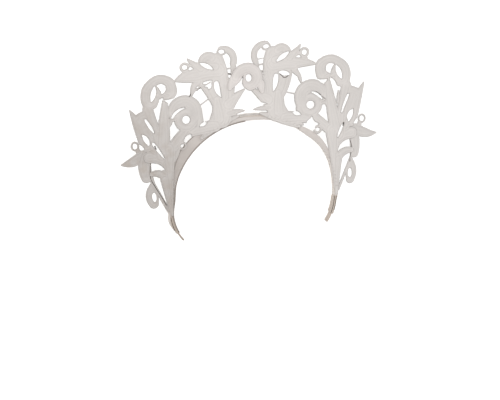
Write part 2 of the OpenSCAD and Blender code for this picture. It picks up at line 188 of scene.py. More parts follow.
# %% What differs from hand to hand
# The two sides were sewn by hand and differ by about a millimetre. A row above holds for both sides, or only
# for the side that has no row of that name here.
left_motifs = {
    "middle leaf": [leaf(19.2, 97, 3, 109.7, -0.6, 12.6, 7.6, 1.2),
                    leaf(14.8, 120, 17.2, 104, 0, 5, 7, 6)],
}
right_motifs = {
    "centre stem": [leaf(27, 84, 19.8, 116, 1.2, 18, 15, 13.2), leaf(31, 100, 35, 123, 0, 8, 15, 17),
                    leaf(23, 118, 26.4, 141, 0, 12, 15.6, 13)],
    "foot": [scroll(0, 0, 87, 84.4, 82.5, 55, 2.6, 7, 3.4), leaf(46, 72, 51.6, 68.8, 0, 3.4, 3, 1.6)],
    "branch": [leaf(28.8, 84, 29.6, 103, 0, 12.2, 10.8, 8.2),
               leaf(31.9, 98, 41.3, 119.6, -1.2, 4.8, 5.8, 6.6), leaf(33.5, 90, 36.6, 83, 0, 2, 2.6, 3)],
    "low tip": [leaf(21, 88.9, 3.8, 89.2, -0.6, 4.2, 4, 0.4), leaf(20, 89, 16, 88.6, 0, 4.6, 3.6, 2.6)],
    "crescent": [leaf(46.8, 122.4, 52.8, 109.6, 1, 6, 4.4, 1.6)],
    "shoulder": [leaf(27, 130.5, 47, 127.8, 0, 16, 12.5, 11.5),
                 leaf(46, 129, 68.2, 125.6, 0.9, 11, 8.1, 2)],
    "thorn": [leaf(53, 137, 59.4, 131.8, 0, 6, 4.6, 3.4),
              leaf(43.5, 134.3, 54.7, 145.6, -0.6, 9, 6, 1.6)],
    "top loop": [leaf(9.8, 136, 12.4, 118, 0, 5.4, 4, 4.8),
                 scroll(19.8, 140.9, 14.2, 12.5, 208, 80, 5.4, 5.9, 5)],
    "low leaf": [leaf(76, 62, 62.5, 76, 0, 9.5, 9, 8.4)],
    "eye scroll": [leaf(34, 77.5, 56, 74, 1, 11.6, 11.2, 8), leaf(49.4, 76, 49.3, 95, 0, 9, 7, 5),
                   scroll(61.4, 94.2, 16, 17.6, 240, 10, 14, 15, 15), ring(60.3, 87.1, 4.1, 4.1, 0, 7.5)],
    "eye joint": [leaf(71, 87.4, 77, 87.6, 0, 3, 3, 3), leaf(75.6, 88, 78.4, 81.6, 0, 3, 3, 1.6)],
    "outer leaf": [leaf(95, 72, 103.5, 93, 0, 8, 11, 11), leaf(98, 95, 107.8, 93, 0, 12, 11, 8),
                   leaf(99.8, 66, 114.9, 102, 1.4, 10.4, 9.4, 1), leaf(85, 55, 98, 67, 0, 8, 10, 7)],
    "small arm": [scroll(95.5, 29, 14.9, 11.8, 168, 76, 7.4, 7.4, 5.2)],
    "outer strand": [leaf(80.8, -2, 84.8, 32, 0, 3, 4.4, 7)],
    "shoulder scroll": [leaf(86, 55, 97, 101, 0.5, 14, 9.5, 10),
                        scroll(83.4, 116.2, 20.8, 15.6, -36, 50, 17, 15, 15),
                        scroll(83.4, 116.2, 15.6, 17.5, 50, 140, 15, 15.4, 17),
                        scroll(83.4, 116.2, 17.5, 15.4, 140, 185, 17, 16, 15),
                        scroll(83.4, 116.2, 14.6, 11.6, 185, 216, 15, 12, 8),
                        leaf(79.6, 114, 87.6, 119, 0, 11, 15, 15)],
    "side stem": [leaf(80.2, -4, 80.1, 60, 0, 2, 6.8, 13.6),
                  leaf(83.8, 60, 78.6, 106.2, 0, 12.4, 10.4, 6.5),
                  leaf(87.5, 86, 89.3, 97, 0, 2.6, 2.7, 1.4)],
    "thorn ring": [ring(58.1, 138, 2.6, 2.7, 0, 2.2)],
    "stem ring": [ring(65.7, 62.2, 2.3, 2.1, 0, 1.9)],
    "bars": [leaf(12.5, 136.8, 19, 137.2, 0, 0.7, 0.7, 0.7),
             leaf(13, 131.4, 18.5, 131.7, 0, 1.3, 1.3, 1.3), leaf(13.4, 123.6, 18.5, 123.8, 0, 4, 4, 4),
             leaf(35.5, 103, 47, 99, 0, 1.1, 1.1, 1.1)],
    "strand": [leaf(98, 30, 83.2, 0.5, -0.2, 2.6, 2.6, 2.6)],
    "loop ring": [ring(21.2, 148, 3, 2.1, 5, 1.6)],
    "hanging loop": [leaf(97.4, 27.2, 95.9, 8.6, 0.6, 4.6, 10.7, 8.4),
                     ring(95.8, 14.9, 2.2, 4.7, -3, 1.4)],
    "pointed leaf": [leaf(104, 57.8, 125.3, 50, -2.4, 8.2, 8.8, 1)],
    "curled leaf": [leaf(101.7, 57.8, 101.6, 33.4, 1.2, 8, 9.8, 8.6)],
    "outer ring": [ring(111.6, 66, 2.4, 2.9, 0, 1.6)],
}
left_slits = {
    "thorn": [leaf(51.4, 134.9, 54.9, 134.3, 0.4, 1.3, 3.5, 1)],
    "crescent": [leaf(47, 117, 48.8, 116.2, 0, 1, 1.7, 1), leaf(48.6, 113.2, 49.2, 112, 0, 0.6, 0.8, 1)],
}
right_slits = {
    "curl": [leaf(42.8, 140.2, 30.7, 132.8, 0, 1.4, 4.8, 1.4)],
    "branch": [leaf(28.9, 118.8, 25.3, 104.6, 0.2, 4.8, 5, 0.9)],
    "foot": [leaf(42.5, 81.6, 49.7, 78.9, 0.3, 1.2, 4.3, 1.3),
             leaf(12, 94.6, 17.6, 93.2, 0, 2, 1.5, 0.4)],
    "over the branch": [leaf(32.3, 122, 40.8, 119.3, 0, 1.9, 5, 3)],
    "eye scroll": [leaf(62.4, 99.2, 72.2, 91.2, 1.1, 1.2, 3, 1.6)],
    "shoulder tear": [leaf(88.6, 121.6, 93, 108.2, 0, 1.2, 5.2, 1)],
    "shoulder eye": [leaf(82.2, 114.9, 86.5, 122.9, 3.4, 0.9, 7.2, 0.9)],
    "beside the stem": [leaf(81.8, 110.6, 85, 95, 2, 1, 4.4, 0.8)],
    "outer leaf, high": [leaf(98.5, 91.8, 90.9, 75.8, -0.3, 2.4, 2.7, 1.6)],
    "outer leaf, low": [leaf(102.1, 77.2, 97.3, 66, -0.9, 1.1, 5.6, 1.2)],
    "spray root": [leaf(92, 64.8, 85.2, 52.2, -0.3, 1.6, 3, 1)],
    "under the shoulder": [leaf(70.3, 110.3, 78.5, 109.4, -1.8, 0.8, 4, 0.8)],
    "low leaf": [leaf(60.6, 75.4, 60.9, 64.6, 0, 1, 4.8, 5.6), leaf(61, 70, 66.2, 67.4, 0, 3, 3, 2.2),
                 leaf(60.4, 73.6, 56, 70.6, 0, 1, 2.4, 1.6)],
    "outer ring": [leaf(105.9, 67.8, 104.2, 63.2, 0, 1, 3.2, 4.8)],
}


def by_hand(rows, changed):
    """The rows of one side: a changed row takes the place of the shared row of the same name."""
    return [(name, changed.get(name, bands)) for name, bands in rows]


print("own rows on the left:", len(left_motifs) + len(left_slits))
print("own rows on the right:", len(right_motifs) + len(right_slits))


# %% [markdown]
# ## How deep a point lies in a band
# The lace could be cut from curves, but padded embroidery needs a height at every point. So each band gives a
# field on a fine grid: how far inside its edge a point lies, and how far along and across it the point is.
# The fields make the outline, the raised edges and the run of the thread, all from the same few rows.

# %% Fields of the three kinds of band
def width_at(t, at_root, at_middle, at_tip):
    return at_root * (1 - t) * (1 - 2 * t) + 4 * at_middle * t * (1 - t) + at_tip * t * (2 * t - 1)


def leaf_field(row, x, y):
    x0, y0, x1, y1, bow, w0, wm, w1 = row
    dx, dy = x1 - x0, y1 - y0
    length = math.hypot(dx, dy)
    nx, ny = -dy / length, dx / length
    t = np.clip(((x - x0) * dx + (y - y0) * dy) / length**2, 0, 1)
    for _ in range(4):
        px, py = x0 + dx * t + 4 * bow * t * (1 - t) * nx, y0 + dy * t + 4 * bow * t * (1 - t) * ny
        sx, sy = dx + 4 * bow * (1 - 2 * t) * nx, dy + 4 * bow * (1 - 2 * t) * ny
        t = np.clip(t + ((x - px) * sx + (y - py) * sy) / (sx * sx + sy * sy), 0, 1)
    away = np.hypot(x - px, y - py)
    across = ((y - py) * sx - (x - px) * sy) / np.hypot(sx, sy)
    return width_at(t, w0, wm, w1) / 2 - away, t * length, across


def scroll_field(row, x, y):
    cx, cy, r0, r1, a0, a1, w0, wm, w1 = row
    middle = (a0 + a1) / 2
    angle = middle + (np.degrees(np.arctan2(y - cy, x - cx)) - middle + 180) % 360 - 180
    t = np.clip((angle - a0) / (a1 - a0), 0, 1)
    width = width_at(t, w0, wm, w1)
    centre = r0 + (r1 - r0) * t - width / 2
    a = np.radians(a0 + (a1 - a0) * t)
    away = np.hypot(x - cx - centre * np.cos(a), y - cy - centre * np.sin(a))
    return width / 2 - away, t * abs(math.radians(a1 - a0)) * (r0 + r1) / 2, np.hypot(x - cx, y - cy) - centre


def oval_distance(row, x, y, grow):
    cx, cy, half_w, half_h, tilt = row[:5]
    c, s = math.cos(math.radians(tilt)), math.sin(math.radians(tilt))
    u, v = (x - cx) * c + (y - cy) * s, (y - cy) * c - (x - cx) * s
    a, b = half_w + grow, half_h + grow
    k = np.hypot(u / a, v / b)
    return k * (k - 1) / np.maximum(np.hypot(u / a**2, v / b**2), 1e-6), np.arctan2(v, u)


def ring_field(row, x, y):
    rim = row[5]
    off, turn = oval_distance(row, x, y, rim / 2)
    return rim / 2 - np.abs(off), turn * (row[2] + row[3] + rim) / 2, off


band_field = {"leaf": leaf_field, "scroll": scroll_field, "ring": ring_field}
print("a point 1 mm inside a 4 mm leaf reads",
      leaf_field((0, 0, 10, 0, 0, 4, 4, 4), np.array(5.0), np.array(1.0))[0])


# %% [markdown]
# ## The relief of padded satin stitch
# Each motif has a raised cord along its edge, then a padded middle with faint lines that follow the edge,
# because the padding is laid in rows. The motif sewn last wins where two cross, which draws its outline.

# %% Height of a motif above the cloth
def satin_height(depth):
    """Millimetres above the cloth, at a depth in from the motif's edge."""
    cord_r, cord_high, pad_from, pad_slope = 0.62, 0.5, 0.9, 1.3
    pad_high, line_high, line_apart = 0.34, 0.08, 2.5
    cord = cord_high * np.sqrt(np.clip(1 - ((depth - cord_r) / cord_r) ** 2, 0, 1))
    rise = np.clip((depth - pad_from) / pad_slope, 0, 1)
    lines = line_high * np.cos(2 * math.pi * (depth - cord_r) / line_apart)
    pad = (pad_high + lines) * rise * rise * (3 - 2 * rise)
    return np.maximum(cord, pad)


def softly_greater(a, b, soft):
    mix = np.clip(0.5 + 0.5 * (a - b) / soft, 0, 1)
    return b + (a - b) * mix + soft * mix * (1 - mix)


print("heights at 0.6, 1.2 and 3 mm in:", satin_height(np.array([0.6, 1.2, 3.0])).round(2))


# %% The grid that a pattern needs
FAR_OUT = -99.0
FOOT_RADIUS = 50


def row_reach(kind, row):
    """Lowest and highest x and y of a row's centre line, and how far its lace reaches beyond them."""
    if kind == "leaf":
        x0, y0, x1, y1, bow, *widths = row
        return min(x0, x1), max(x0, x1), min(y0, y1), max(y0, y1), max(widths) / 2 + abs(bow)
    x, y, size_a, size_b = row[:4]
    return x, x, y, y, max(size_a, size_b) + (row[5] if kind == "ring" else 0)


def pattern_grid(motifs, step):
    """Grid over a pattern. The foot's wide arc lies within the rest, so its circle isn't counted."""
    rows = [band for _, bands in motifs for band in bands]
    reach = [row_reach(kind, r) for kind, r in rows if kind != "scroll" or r[2] < FOOT_RADIUS]
    x_from, x_to = min(r[0] - r[4] for r in reach) - 2 * step, max(r[1] + r[4] for r in reach) + 2 * step
    y_from, y_to = min(r[2] - r[4] for r in reach) - 2 * step, max(r[3] + r[4] for r in reach) + 2 * step
    return np.meshgrid(np.arange(x_from, x_to, step), np.arange(y_from, y_to, step))


print("a ring reaches", row_reach("ring", (0, 0, 3, 2, 5, 1.6))[4], "mm from its centre")


# %% Every field of a pattern on one grid
JOIN_SOFT, LAYER_SOFT, NARROW_RIM = 0.8, 0.5, 8


def embroider(motifs, slits, step):
    """The pattern's fields: x, y, depth in the lace, height of relief, motif on top, along and across it."""
    x, y = pattern_grid(motifs, step)
    depth = np.full(x.shape, FAR_OUT)
    height, top = np.zeros(x.shape), np.full(x.shape, -1)
    layers = (len(motifs),) + x.shape
    along, across = np.zeros(layers, np.float32), np.zeros(layers, np.float32)
    for m, (_, bands) in enumerate(motifs):
        best = np.full(x.shape, FAR_OUT)
        for kind, row in bands:
            inside, run, side = band_field[kind](row, x, y)
            wins = inside > best
            along[m], across[m] = np.where(wins, run, along[m]), np.where(wins, side, across[m])
            best = softly_greater(inside, best, JOIN_SOFT) if kind != "ring" else np.maximum(inside, best)
            if kind == "ring" and row[5] < NARROW_RIM:
                over_ring = np.maximum(inside, np.minimum(best, row[5] / 2))
                best = np.where(oval_distance(row, x, y, row[5])[0] < 0, over_ring, best)
        here = best > 0
        height, top = np.where(here, satin_height(best), height), np.where(here, m, top)
        depth = softly_greater(best, depth, LAYER_SOFT)
    for _, cuts in slits:
        for _, row in cuts:
            depth = np.minimum(depth, -leaf_field(row, x, y)[0])
    for _, bands in motifs:
        for kind, row in bands:
            if kind == "ring":
                depth = np.minimum(depth, oval_distance(row, x, y, 0)[0])
    print("  grid", x.shape, "from", sum(len(bands) for _, bands in motifs), "bands")
    return x, y, depth, height, top, along, across


# %% [markdown]
# ## From the fields to a closed mesh
# The grid's cells become faces where the depth is above nought. Cells that the outline crosses are cut on the
# line, which is the method called marching squares. The front carries the relief, the back is flatter, and
# both meet on the outline at half the thickness, so the edge is round and the solid is closed.

# %% Faces of one kind of cell, by which of its four corners are inside
cell_faces = {
    15: ["abcd"], 1: ["a14"], 2: ["b21"], 4: ["c32"], 8: ["d43"], 3: ["ab24"], 6: ["bc31"], 12: ["cd42"],
    9: ["a13d"], 7: ["abc", "ac34"], 14: ["bcd", "bd41"], 13: ["cda", "ca12"], 11: ["dab", "db23"],
    5: ["a14", "c32"], 10: ["b21", "d43"],
}
print(len(cell_faces), "kinds of cell hold lace")


NEAREST = 0.04


def outline_mesh(depth, step):
    """Points of the lace on a grid of depths, its faces, and how many points lie inside the outline.

    A point is a share of the way between two places on the grid. One that would lie closer to the outline
    than NEAREST of a step is taken to be inside by that much, so that no face has nought for its area.
    """
    depth = np.where(np.abs(depth) < NEAREST * step, NEAREST * step, depth)
    rows, cols = depth.shape
    inside = depth > 0
    inner = np.full(depth.shape, -1)
    inner[inside] = np.arange(inside.sum())
    count = int(inside.sum())
    gy, gx = np.nonzero(inside)
    points, owner = [np.c_[gy, gx, gy, gx, np.zeros(count)]], count
    cut_h, cut_v = np.full(depth.shape, -1), np.full(depth.shape, -1)
    for cuts, shift in ((cut_h, (0, 1)), (cut_v, (1, 0))):
        a, b = depth[:rows - shift[0], :cols - shift[1]], depth[shift[0]:, shift[1]:]
        cy, cx = np.nonzero((a > 0) != (b > 0))
        share = a[cy, cx] / (a[cy, cx] - b[cy, cx])
        points.append(np.c_[cy, cx, cy + shift[0], cx + shift[1], share])
        cuts[cy, cx] = owner + np.arange(len(cy))
        owner += len(cy)
    kind = inside[:-1, :-1] * 1 + inside[:-1, 1:] * 2 + inside[1:, 1:] * 4 + inside[1:, :-1] * 8
    faces = {3: [], 4: []}
    for number, shapes in cell_faces.items():
        cy, cx = np.nonzero(kind == number)
        corner = {"a": inner[cy, cx], "b": inner[cy, cx + 1], "c": inner[cy + 1, cx + 1],
                  "d": inner[cy + 1, cx],
                  "1": cut_h[cy, cx], "2": cut_v[cy, cx + 1], "3": cut_h[cy + 1, cx], "4": cut_v[cy, cx]}
        for shape in shapes:
            loop = [corner[c] for c in shape]
            faces[len(loop)].append(np.stack(loop, 1))
    faces = {n: np.concatenate(f) for n, f in faces.items() if f}
    return np.concatenate(points), faces, count


def cut_ends(cuts):
    """Both places on the grid of each point, and its share of the way between them."""
    places = cuts[:, :4].astype(int).T
    return (places[0], places[1]), (places[2], places[3]), cuts[:, 4]


# %% Meshes from points and faces
def plain_mesh(name, points_m, faces, smooth=True):
    """A new object from points in frame metres and faces as lists of point numbers."""
    mesh = bpy.data.meshes.new(name)
    sizes = np.concatenate([np.full(len(f), f.shape[1]) for f in faces])
    corners = np.concatenate([f.ravel() for f in faces])
    mesh.vertices.add(len(points_m))
    mesh.vertices.foreach_set("co", np.asarray(points_m, np.float32).ravel())
    mesh.loops.add(len(corners))
    mesh.loops.foreach_set("vertex_index", corners.astype(np.int32))
    mesh.polygons.add(len(sizes))
    mesh.polygons.foreach_set("loop_start", np.r_[0, np.cumsum(sizes)[:-1]].astype(np.int32))
    mesh.update(calc_edges=True)
    mesh.polygons.foreach_set("use_smooth", np.full(len(sizes), smooth))
    piece = bpy.data.objects.new(name, mesh)
    bpy.context.scene.collection.objects.link(piece)
    return piece


def ring_quads(index):
    """Faces between each cross-section and the next, from a table of their point numbers."""
    a, b = index[:-1], index[1:]
    return np.stack([a, np.roll(a, -1, 1), np.roll(b, -1, 1), b], 2).reshape(-1, 4)


def thread_map(mesh, corners_mm):
    """The map called thread: run and side of each face corner in millimetres, kept in metres."""
    layer = mesh.uv_layers.new(name="thread")
    layer.data.foreach_set("uv", (corners_mm * MM).astype(np.float32).ravel())


# %% Build one lace piece
RIM_SHARE = 0.72
FRONT_ROUND, FRONT_LOW, FRONT_RELIEF = 0.75, 0.1, 0.85
BACK_ROUND, BACK_DEEP, BACK_RELIEF = 1.1, 0.95, 0.4
TURN_JUMP = 6


def lace_piece(name, fields, level, lean, side, step):
    """A closed piece of lace: side is 1 for the viewer's right and -1 for the left."""
    x, y, depth, height, top, along, across = fields
    cuts, faces, inner = outline_mesh(depth, step)
    i0, i1, share = cut_ends(cuts)

    def at(field):
        return field[i0] * (1 - share) + field[i1] * share

    px, py = at(x), at(y) + lace_rise
    deep = at(depth)
    deep[:inner] = np.maximum(deep[:inner], NEAREST * step)
    round_edge = np.sqrt(np.clip(1 - (1 - np.clip(deep / FRONT_ROUND, 0, 1)) ** 2, 0, 1))
    round_edge[inner:] = 0
    relief = at(height)
    rim = lace_level(np.hypot(px, py), level, lean) + RIM_SHARE * lace_thick
    front = rim + round_edge * (FRONT_LOW + FRONT_RELIEF * relief)
    back = rim - np.clip(deep / BACK_ROUND, 0, 1) * (BACK_DEEP + BACK_RELIEF * relief)
    flat = np.c_[side * px, py, front]
    under = np.c_[side * px, py, back][:inner]
    total = len(flat)
    rear = {n: np.where(f < inner, f + total, f)[:, ::-1] for n, f in faces.items()}
    both = [faces[3], rear[3], faces[4], rear[4]]
    if side < 0:
        both = [f[:, ::-1] for f in both]
    piece = plain_mesh(name, in_frame(np.r_[flat, under]), both)
    mesh = piece.data
    for label, values in (("edge_mm", at(depth)), ("relief_mm", relief)):
        both_sides = np.r_[values, values[:inner]].astype(np.float32)
        mesh.attributes.new(label, "FLOAT", "POINT").data.foreach_set("value", both_sides)
    run = []
    for f in both:
        first = np.where(f < total, f, f - total)
        owner = top[i0][first].max(1)
        ay, ax, by, bx = (c[first] for c in (i0[0], i0[1], i1[0], i1[1]))
        k, m = share[first], np.repeat(owner[:, None], f.shape[1], 1)
        a = along[m, ay, ax] * (1 - k) + along[m, by, bx] * k
        wrap = (a.max(1) - a.min(1)) > TURN_JUMP
        a = np.where(wrap[:, None], np.abs(a), a)
        aside = across[m, ay, ax] * (1 - k) + across[m, by, bx] * k
        run.append(np.stack([a, aside], 2).reshape(-1, 2))
    thread_map(mesh, np.concatenate(run))
    print(" ", name, len(mesh.polygons), "faces")
    return piece


# %% Sew the lace pieces
LACE_STEP = 0.38
sides = {"left": -1, "right": 1}
own_rows = {"left": (left_motifs, left_slits), "right": (right_motifs, right_slits)}
panel_fields, spray_fields, lace = {}, {}, {}
for word, side in sides.items():
    motifs, slits = own_rows[word]
    panel = embroider(by_hand(panel_motifs, motifs), by_hand(panel_slits, slits), LACE_STEP)
    spray = embroider(by_hand(spray_motifs, motifs), [], LACE_STEP)
    panel_fields[word], spray_fields[word] = panel, spray
    lace[word + "_lace_panel"] = lace_piece("lace_panel_" + word, panel, panel_z, panel_lean, side, LACE_STEP)
    lace[word + "_side_spray"] = lace_piece("side_spray_" + word, spray, spray_z, spray_lean, side, LACE_STEP)
centre_fields = embroider(centre_motifs, [], LACE_STEP)
lace["centre_scroll"] = lace_piece("middle_scroll", centre_fields, centre_z, panel_lean, 1, LACE_STEP)
for node, piece in lace.items():
    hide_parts(node)
    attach(piece, "root")


# %% [markdown]
# ## The headband
# The band is a springy strip wrapped in padding and cloth, with bound ends and a bare tongue at each tip.
# It is swept: one cross-section travels along the arch, and its size changes where the wrapping stops.
# Small waves along and across the sweep are the pulls that cloth makes on the inside of a bend.

# %% Pulls of the sewn lace on the band
# Each pair is an angle in degrees from the right end of the arch and millimetres outwards. The lace pulls the
# band outwards on the viewer's right, and the pad bulges inwards on the left.
pull_table = [(-4, 0), (4, 0.3), (12, 1.1), (20, 1.9), (26, 2.4), (33, 2.2), (40, 1.4), (46, 0.5),
              (53, 0.4), (58, 0.9), (64, 1.5), (72, 1),
              (84, 0), (156, 0), (162, -0.3), (168, -1.3), (173, -1.6), (177, -1.1), (182, -0.2), (184, 0)]


def pulled(degrees):
    return np.interp(degrees, *np.array(pull_table, float).T)


print("widest pull:", max(out for _, out in pull_table), "mm; deepest bulge:",
      -min(out for _, out in pull_table), "mm")


# %% Path of the band, from the left tongue over the top to the right tongue
def band_path(step):
    """Points, outward directions and part of the band: 0 on the tongue, 1 on the bound end, 2 on the pad."""
    degrees_of_arc = 57.3
    turns = np.radians(np.arange(tongue_end, bend_angle, -step / bend_r * degrees_of_arc))
    lower = np.c_[np.cos(turns), -np.sin(turns)]
    part = np.where(np.degrees(turns) > wrap_end, 0, 1)
    low = bend_centre + bend_r * lower
    arch = np.radians(np.arange(-bend_angle, 90, step / band_inner_r * degrees_of_arc))
    upper = np.c_[np.cos(arch), np.sin(arch)]
    out = np.r_[lower, upper]
    part = np.r_[part, np.full(len(arch), 2)]
    flip = np.array([-1, 1])
    left = np.r_[low, (band_inner_r + pulled(180 - np.degrees(arch)))[:, None] * upper] * flip
    right = np.r_[low, (band_inner_r + pulled(np.degrees(arch)))[:, None] * upper]
    return np.r_[left, right[::-1]], np.r_[out * flip, out[::-1]], np.r_[part, part[::-1]]


band_points, band_out, band_part = band_path(0.5)
run_mm = np.r_[0, np.cumsum(np.hypot(*np.diff(band_points, axis=0).T))]
print("the band is", round(run_mm[-1]), "mm long inside, in", len(run_mm), "steps")


# %% Sweep the cross-section
def section(thick, wide, corner, count):
    """A rounded oblong of thickness and width. count is how many points a short and a long side get."""
    deep, tall = thick / 2 - corner, wide / 2 - corner
    arc = [(deep, tall, 0), (-deep, tall, 90), (-deep, -tall, 180), (deep, -tall, 270)]
    ring_points = []
    for n, (cx, cy, start) in enumerate(arc):
        for a in np.radians(start + np.linspace(0, 90, 5)):
            ring_points.append((cx + corner * math.cos(a), cy + corner * math.sin(a)))
        nx, ny = arc[(n + 1) % 4][:2]
        turned = math.radians(start + 90)
        ex, ey = cx + corner * math.cos(turned), cy + corner * math.sin(turned)
        fx, fy = nx + corner * math.cos(turned), ny + corner * math.sin(turned)
        for t in np.linspace(0, 1, count[n % 2] + 2)[1:-1]:
            ring_points.append((ex + (fx - ex) * t, ey + (fy - ey) * t))
    return np.array(ring_points)


print("the pad's cross-section has", len(section(band_thick, band_wide, 1.3, (1, 7))), "points")


TONGUE, BOUND, PAD = 0, 1, 2
part_size = {TONGUE: (1.6, 7.6, 0.5), BOUND: (3.0, 11.6, 1.1), PAD: (band_thick, band_wide, 1.3)}
set_in = 0.9
from_end = np.minimum(run_mm, run_mm[-1] - run_mm)


def shape_pad(shape, n):
    """The pad is crowned, drawn in at its ends, pulled in waves beside its edges and puffed at the top."""
    crown, draw_in, end_length, wave, puff, puff_reach = 0.16, 0.30, 1.2, 0.07, 0.9, 24
    s, x, side = run_mm[n], band_points[n][0], shape[:, 1]
    into_pad = min(1, (from_end[n] - from_end[band_part == PAD].min()) / end_length)
    swell = crown * (1 - (side / (band_wide / 2)) ** 2) - draw_in * (1 - into_pad)
    near_edge = np.exp(-((np.abs(side) - 4.4) / 1.6) ** 2)
    pull = wave * np.sin(s * 0.9 + 2.2 * np.sin(s * 0.13) + side * 0.5) * near_edge
    shape[:, 0] += np.sign(shape[:, 0]) * (swell - crown + pull)
    shape[:, 0] += (shape[:, 0] > 0) * puff * math.exp(-(x / puff_reach) ** 2)
    return shape


def shape_bound_end(shape, n):
    """Tape is wound round each end. The left end is thick with it, and the right end is set in all along."""
    tape_wide, tape_high, tape_slant, fatter, outer_lump = 3.4, 0.1, 0.25, 0.3, 1.1
    thick, wide = part_size[BOUND][:2]
    reach = from_end[band_part == BOUND]
    along_end = (from_end[n] - reach.min()) / np.ptp(reach)
    round_tape = (run_mm[n] + shape[:, 1] * tape_slant) * math.pi / tape_wide
    turn_of_tape = tape_high * np.abs(np.sin(round_tape)) - tape_high
    shape *= 1 + turn_of_tape[:, None] / np.array([thick / 2, wide / 2])
    if band_points[n][0] < 0:
        shape[:, 0] *= 1 + fatter * math.sin(math.pi * min(1, along_end * 1.1 + 0.05)) ** 0.8
        lump = outer_lump * math.sin(math.pi * min(1, along_end)) * along_end
        shape[:, 0] += np.where(shape[:, 0] > 0, lump, 0)
        shape[:, 0] -= set_in * max(0, 1 - along_end / 0.5)
    else:
        shape[:, 0] -= set_in * min(1, (1 - along_end) / 0.2)
    return shape


def sweep_band():
    """The whole band: a cross-section at each step, shaped by the part of the band that it lies on."""
    rings = []
    for n, (p, o, part) in enumerate(zip(band_points, band_out, band_part)):
        shape = section(*part_size[int(part)], (1, 7))
        if part == PAD:
            shape = shape_pad(shape, n)
        elif part == BOUND:
            shape = shape_bound_end(shape, n)
        else:
            shape[:, 0] -= set_in
        radial = shape[:, 0] + band_thick / 2
        rings.append(np.c_[p[0] + o[0] * radial, p[1] + o[1] * radial, band_wide / 2 + shape[:, 1]])
    rings = np.array(rings)
    lengths, around = rings.shape[:2]
    index = np.arange(lengths * around).reshape(lengths, around)
    quads, ends = ring_quads(index), [index[0][::-1][None, :], index[-1][None, :]]
    piece = plain_mesh("padded_headband", in_frame(rings.reshape(-1, 3)), [quads, ends[0], ends[1]])
    part = np.minimum(band_part[:-1], band_part[1:])[:, None]
    outside = (np.arange(around) > 25) | (np.arange(around) < 2)
    finish = np.where(part == TONGUE, 1, np.where((part == BOUND) & ~outside, 2, 0))
    piece.data.polygons.foreach_set("material_index", np.r_[finish.ravel(), 1, 1].astype(np.int32))
    uv = np.zeros((lengths, around, 2))
    uv[..., 0], uv[..., 1] = run_mm[:, None], np.linspace(0, 30, around)[None, :]
    uv = uv.reshape(-1, 2)
    thread_map(piece.data, np.concatenate([uv[faces].reshape(-1, 2) for faces in (quads, *ends)]))
    return piece


headband = sweep_band()
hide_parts("headband")
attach(headband, "root")
print("headband:", len(headband.data.polygons), "faces")

# %% [markdown]
# ## The ribbon along the front edge
# A light ribbon covers the raw edge between the band and the lace. It is narrow at the top of the arch and
# wider down its sides, so its outer edge is a circle that sits lower than the arch's own.

# %% Lay the ribbon
strip_end = 16.0
right_edge = [(16, 85), (24, 86), (31, 86.6), (37, 87.7), (42, 88), (47, 86.2), (54, 84.3), (70, 83),
              (90, 82.7)]
left_edge = [(90, 82.7), (100, 84.3), (110, 86.2), (120, 88.6), (129, 90.2), (136, 90.4), (141, 90.2),
             (149, 89), (157, 88.4), (164, 88)]


def ribbon_strip():
    """The ribbon was pulled by hand and lies wider on the viewer's left, so each side has its own edge."""
    end_gap, steps, smooth = 0.3, 420, 20
    angles = np.radians(np.linspace(strip_end + end_gap, 180 - strip_end - end_gap, steps))
    far = np.interp(np.degrees(angles), *np.array(right_edge + left_edge[1:]).T)
    window = 2 * smooth + 1
    far[smooth:-smooth] = np.convolve(far, np.ones(window) / window, "valid")
    near = band_inner_r + pulled(np.degrees(angles))
    profile = [(0, 0.5), (0.02, 0.85), (0.07, 1), (0.14, 0.93), (0.3, 0.9), (0.5, 0.95), (0.7, 0.9),
               (0.86, 0.93),
               (0.93, 1), (0.98, 0.85), (1, 0.5), (0.98, 0.1), (0.9, 0), (0.5, 0), (0.1, 0), (0.02, 0.1)]
    rings = []
    for n, (a, start, reach) in enumerate(zip(angles, near, far)):
        ripple = 0.03 * math.sin(n * 0.41 + math.sin(n * 0.07) * 3)
        outline = []
        for t, h in profile:
            radius, rise = start + t * (reach - start), min(1, h + (ripple if h > 0.6 else 0))
            outline.append((radius * math.cos(a), radius * math.sin(a), strip_z + strip_thick * rise))
        rings.append(outline)
    rings = np.array(rings)
    lengths, around = rings.shape[:2]
    index = np.arange(lengths * around).reshape(lengths, around)
    quads, ends = ring_quads(index), [index[0][::-1][None, :], index[-1][None, :]]
    piece = plain_mesh("front_ribbon", in_frame(rings.reshape(-1, 3)), [quads, *ends])
    uv = np.zeros((lengths, around, 2))
    ribbon_r, across = 82, np.array([t for t, _ in profile])
    uv[..., 0], uv[..., 1] = (angles * ribbon_r)[:, None], across[None, :] * (far - near)[:, None]
    uv = uv.reshape(-1, 2)
    thread_map(piece.data, np.concatenate([uv[faces].reshape(-1, 2) for faces in (quads, *ends)]))
    return piece


front_ribbon = ribbon_strip()
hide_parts("front_strip")
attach(front_ribbon, "root")
print("ribbon:", len(front_ribbon.data.polygons), "faces")


# %% [markdown]
# ## Finishes
# Every finish is built from shader nodes. Thread runs across each motif, so fine waves on the map called
# thread make the strands, and the two attributes paint shade into the grooves between motifs and onto the
# turned edge.
# Sheen and roughness are single numbers, so they are set on the shader itself.

# %% Small helpers for nodes
def node_adder(tree):
    """A function that adds a node to the tree. i0, i1 and so on stand for an input's number."""

    def node(kind, settings=None, **wires):
        made = tree.nodes.new(kind)
        for key, value in (settings or {}).items():
            setattr(made, key, value)
        for key, value in wires.items():
            by_number = key[0] == "i" and key[1:].isdigit()
            socket = made.inputs[int(key[1:]) if by_number else key.replace("_", " ")]
            if isinstance(value, bpy.types.NodeSocket):
                tree.links.new(value, socket)
            else:
                socket.default_value = value
        return made

    return node


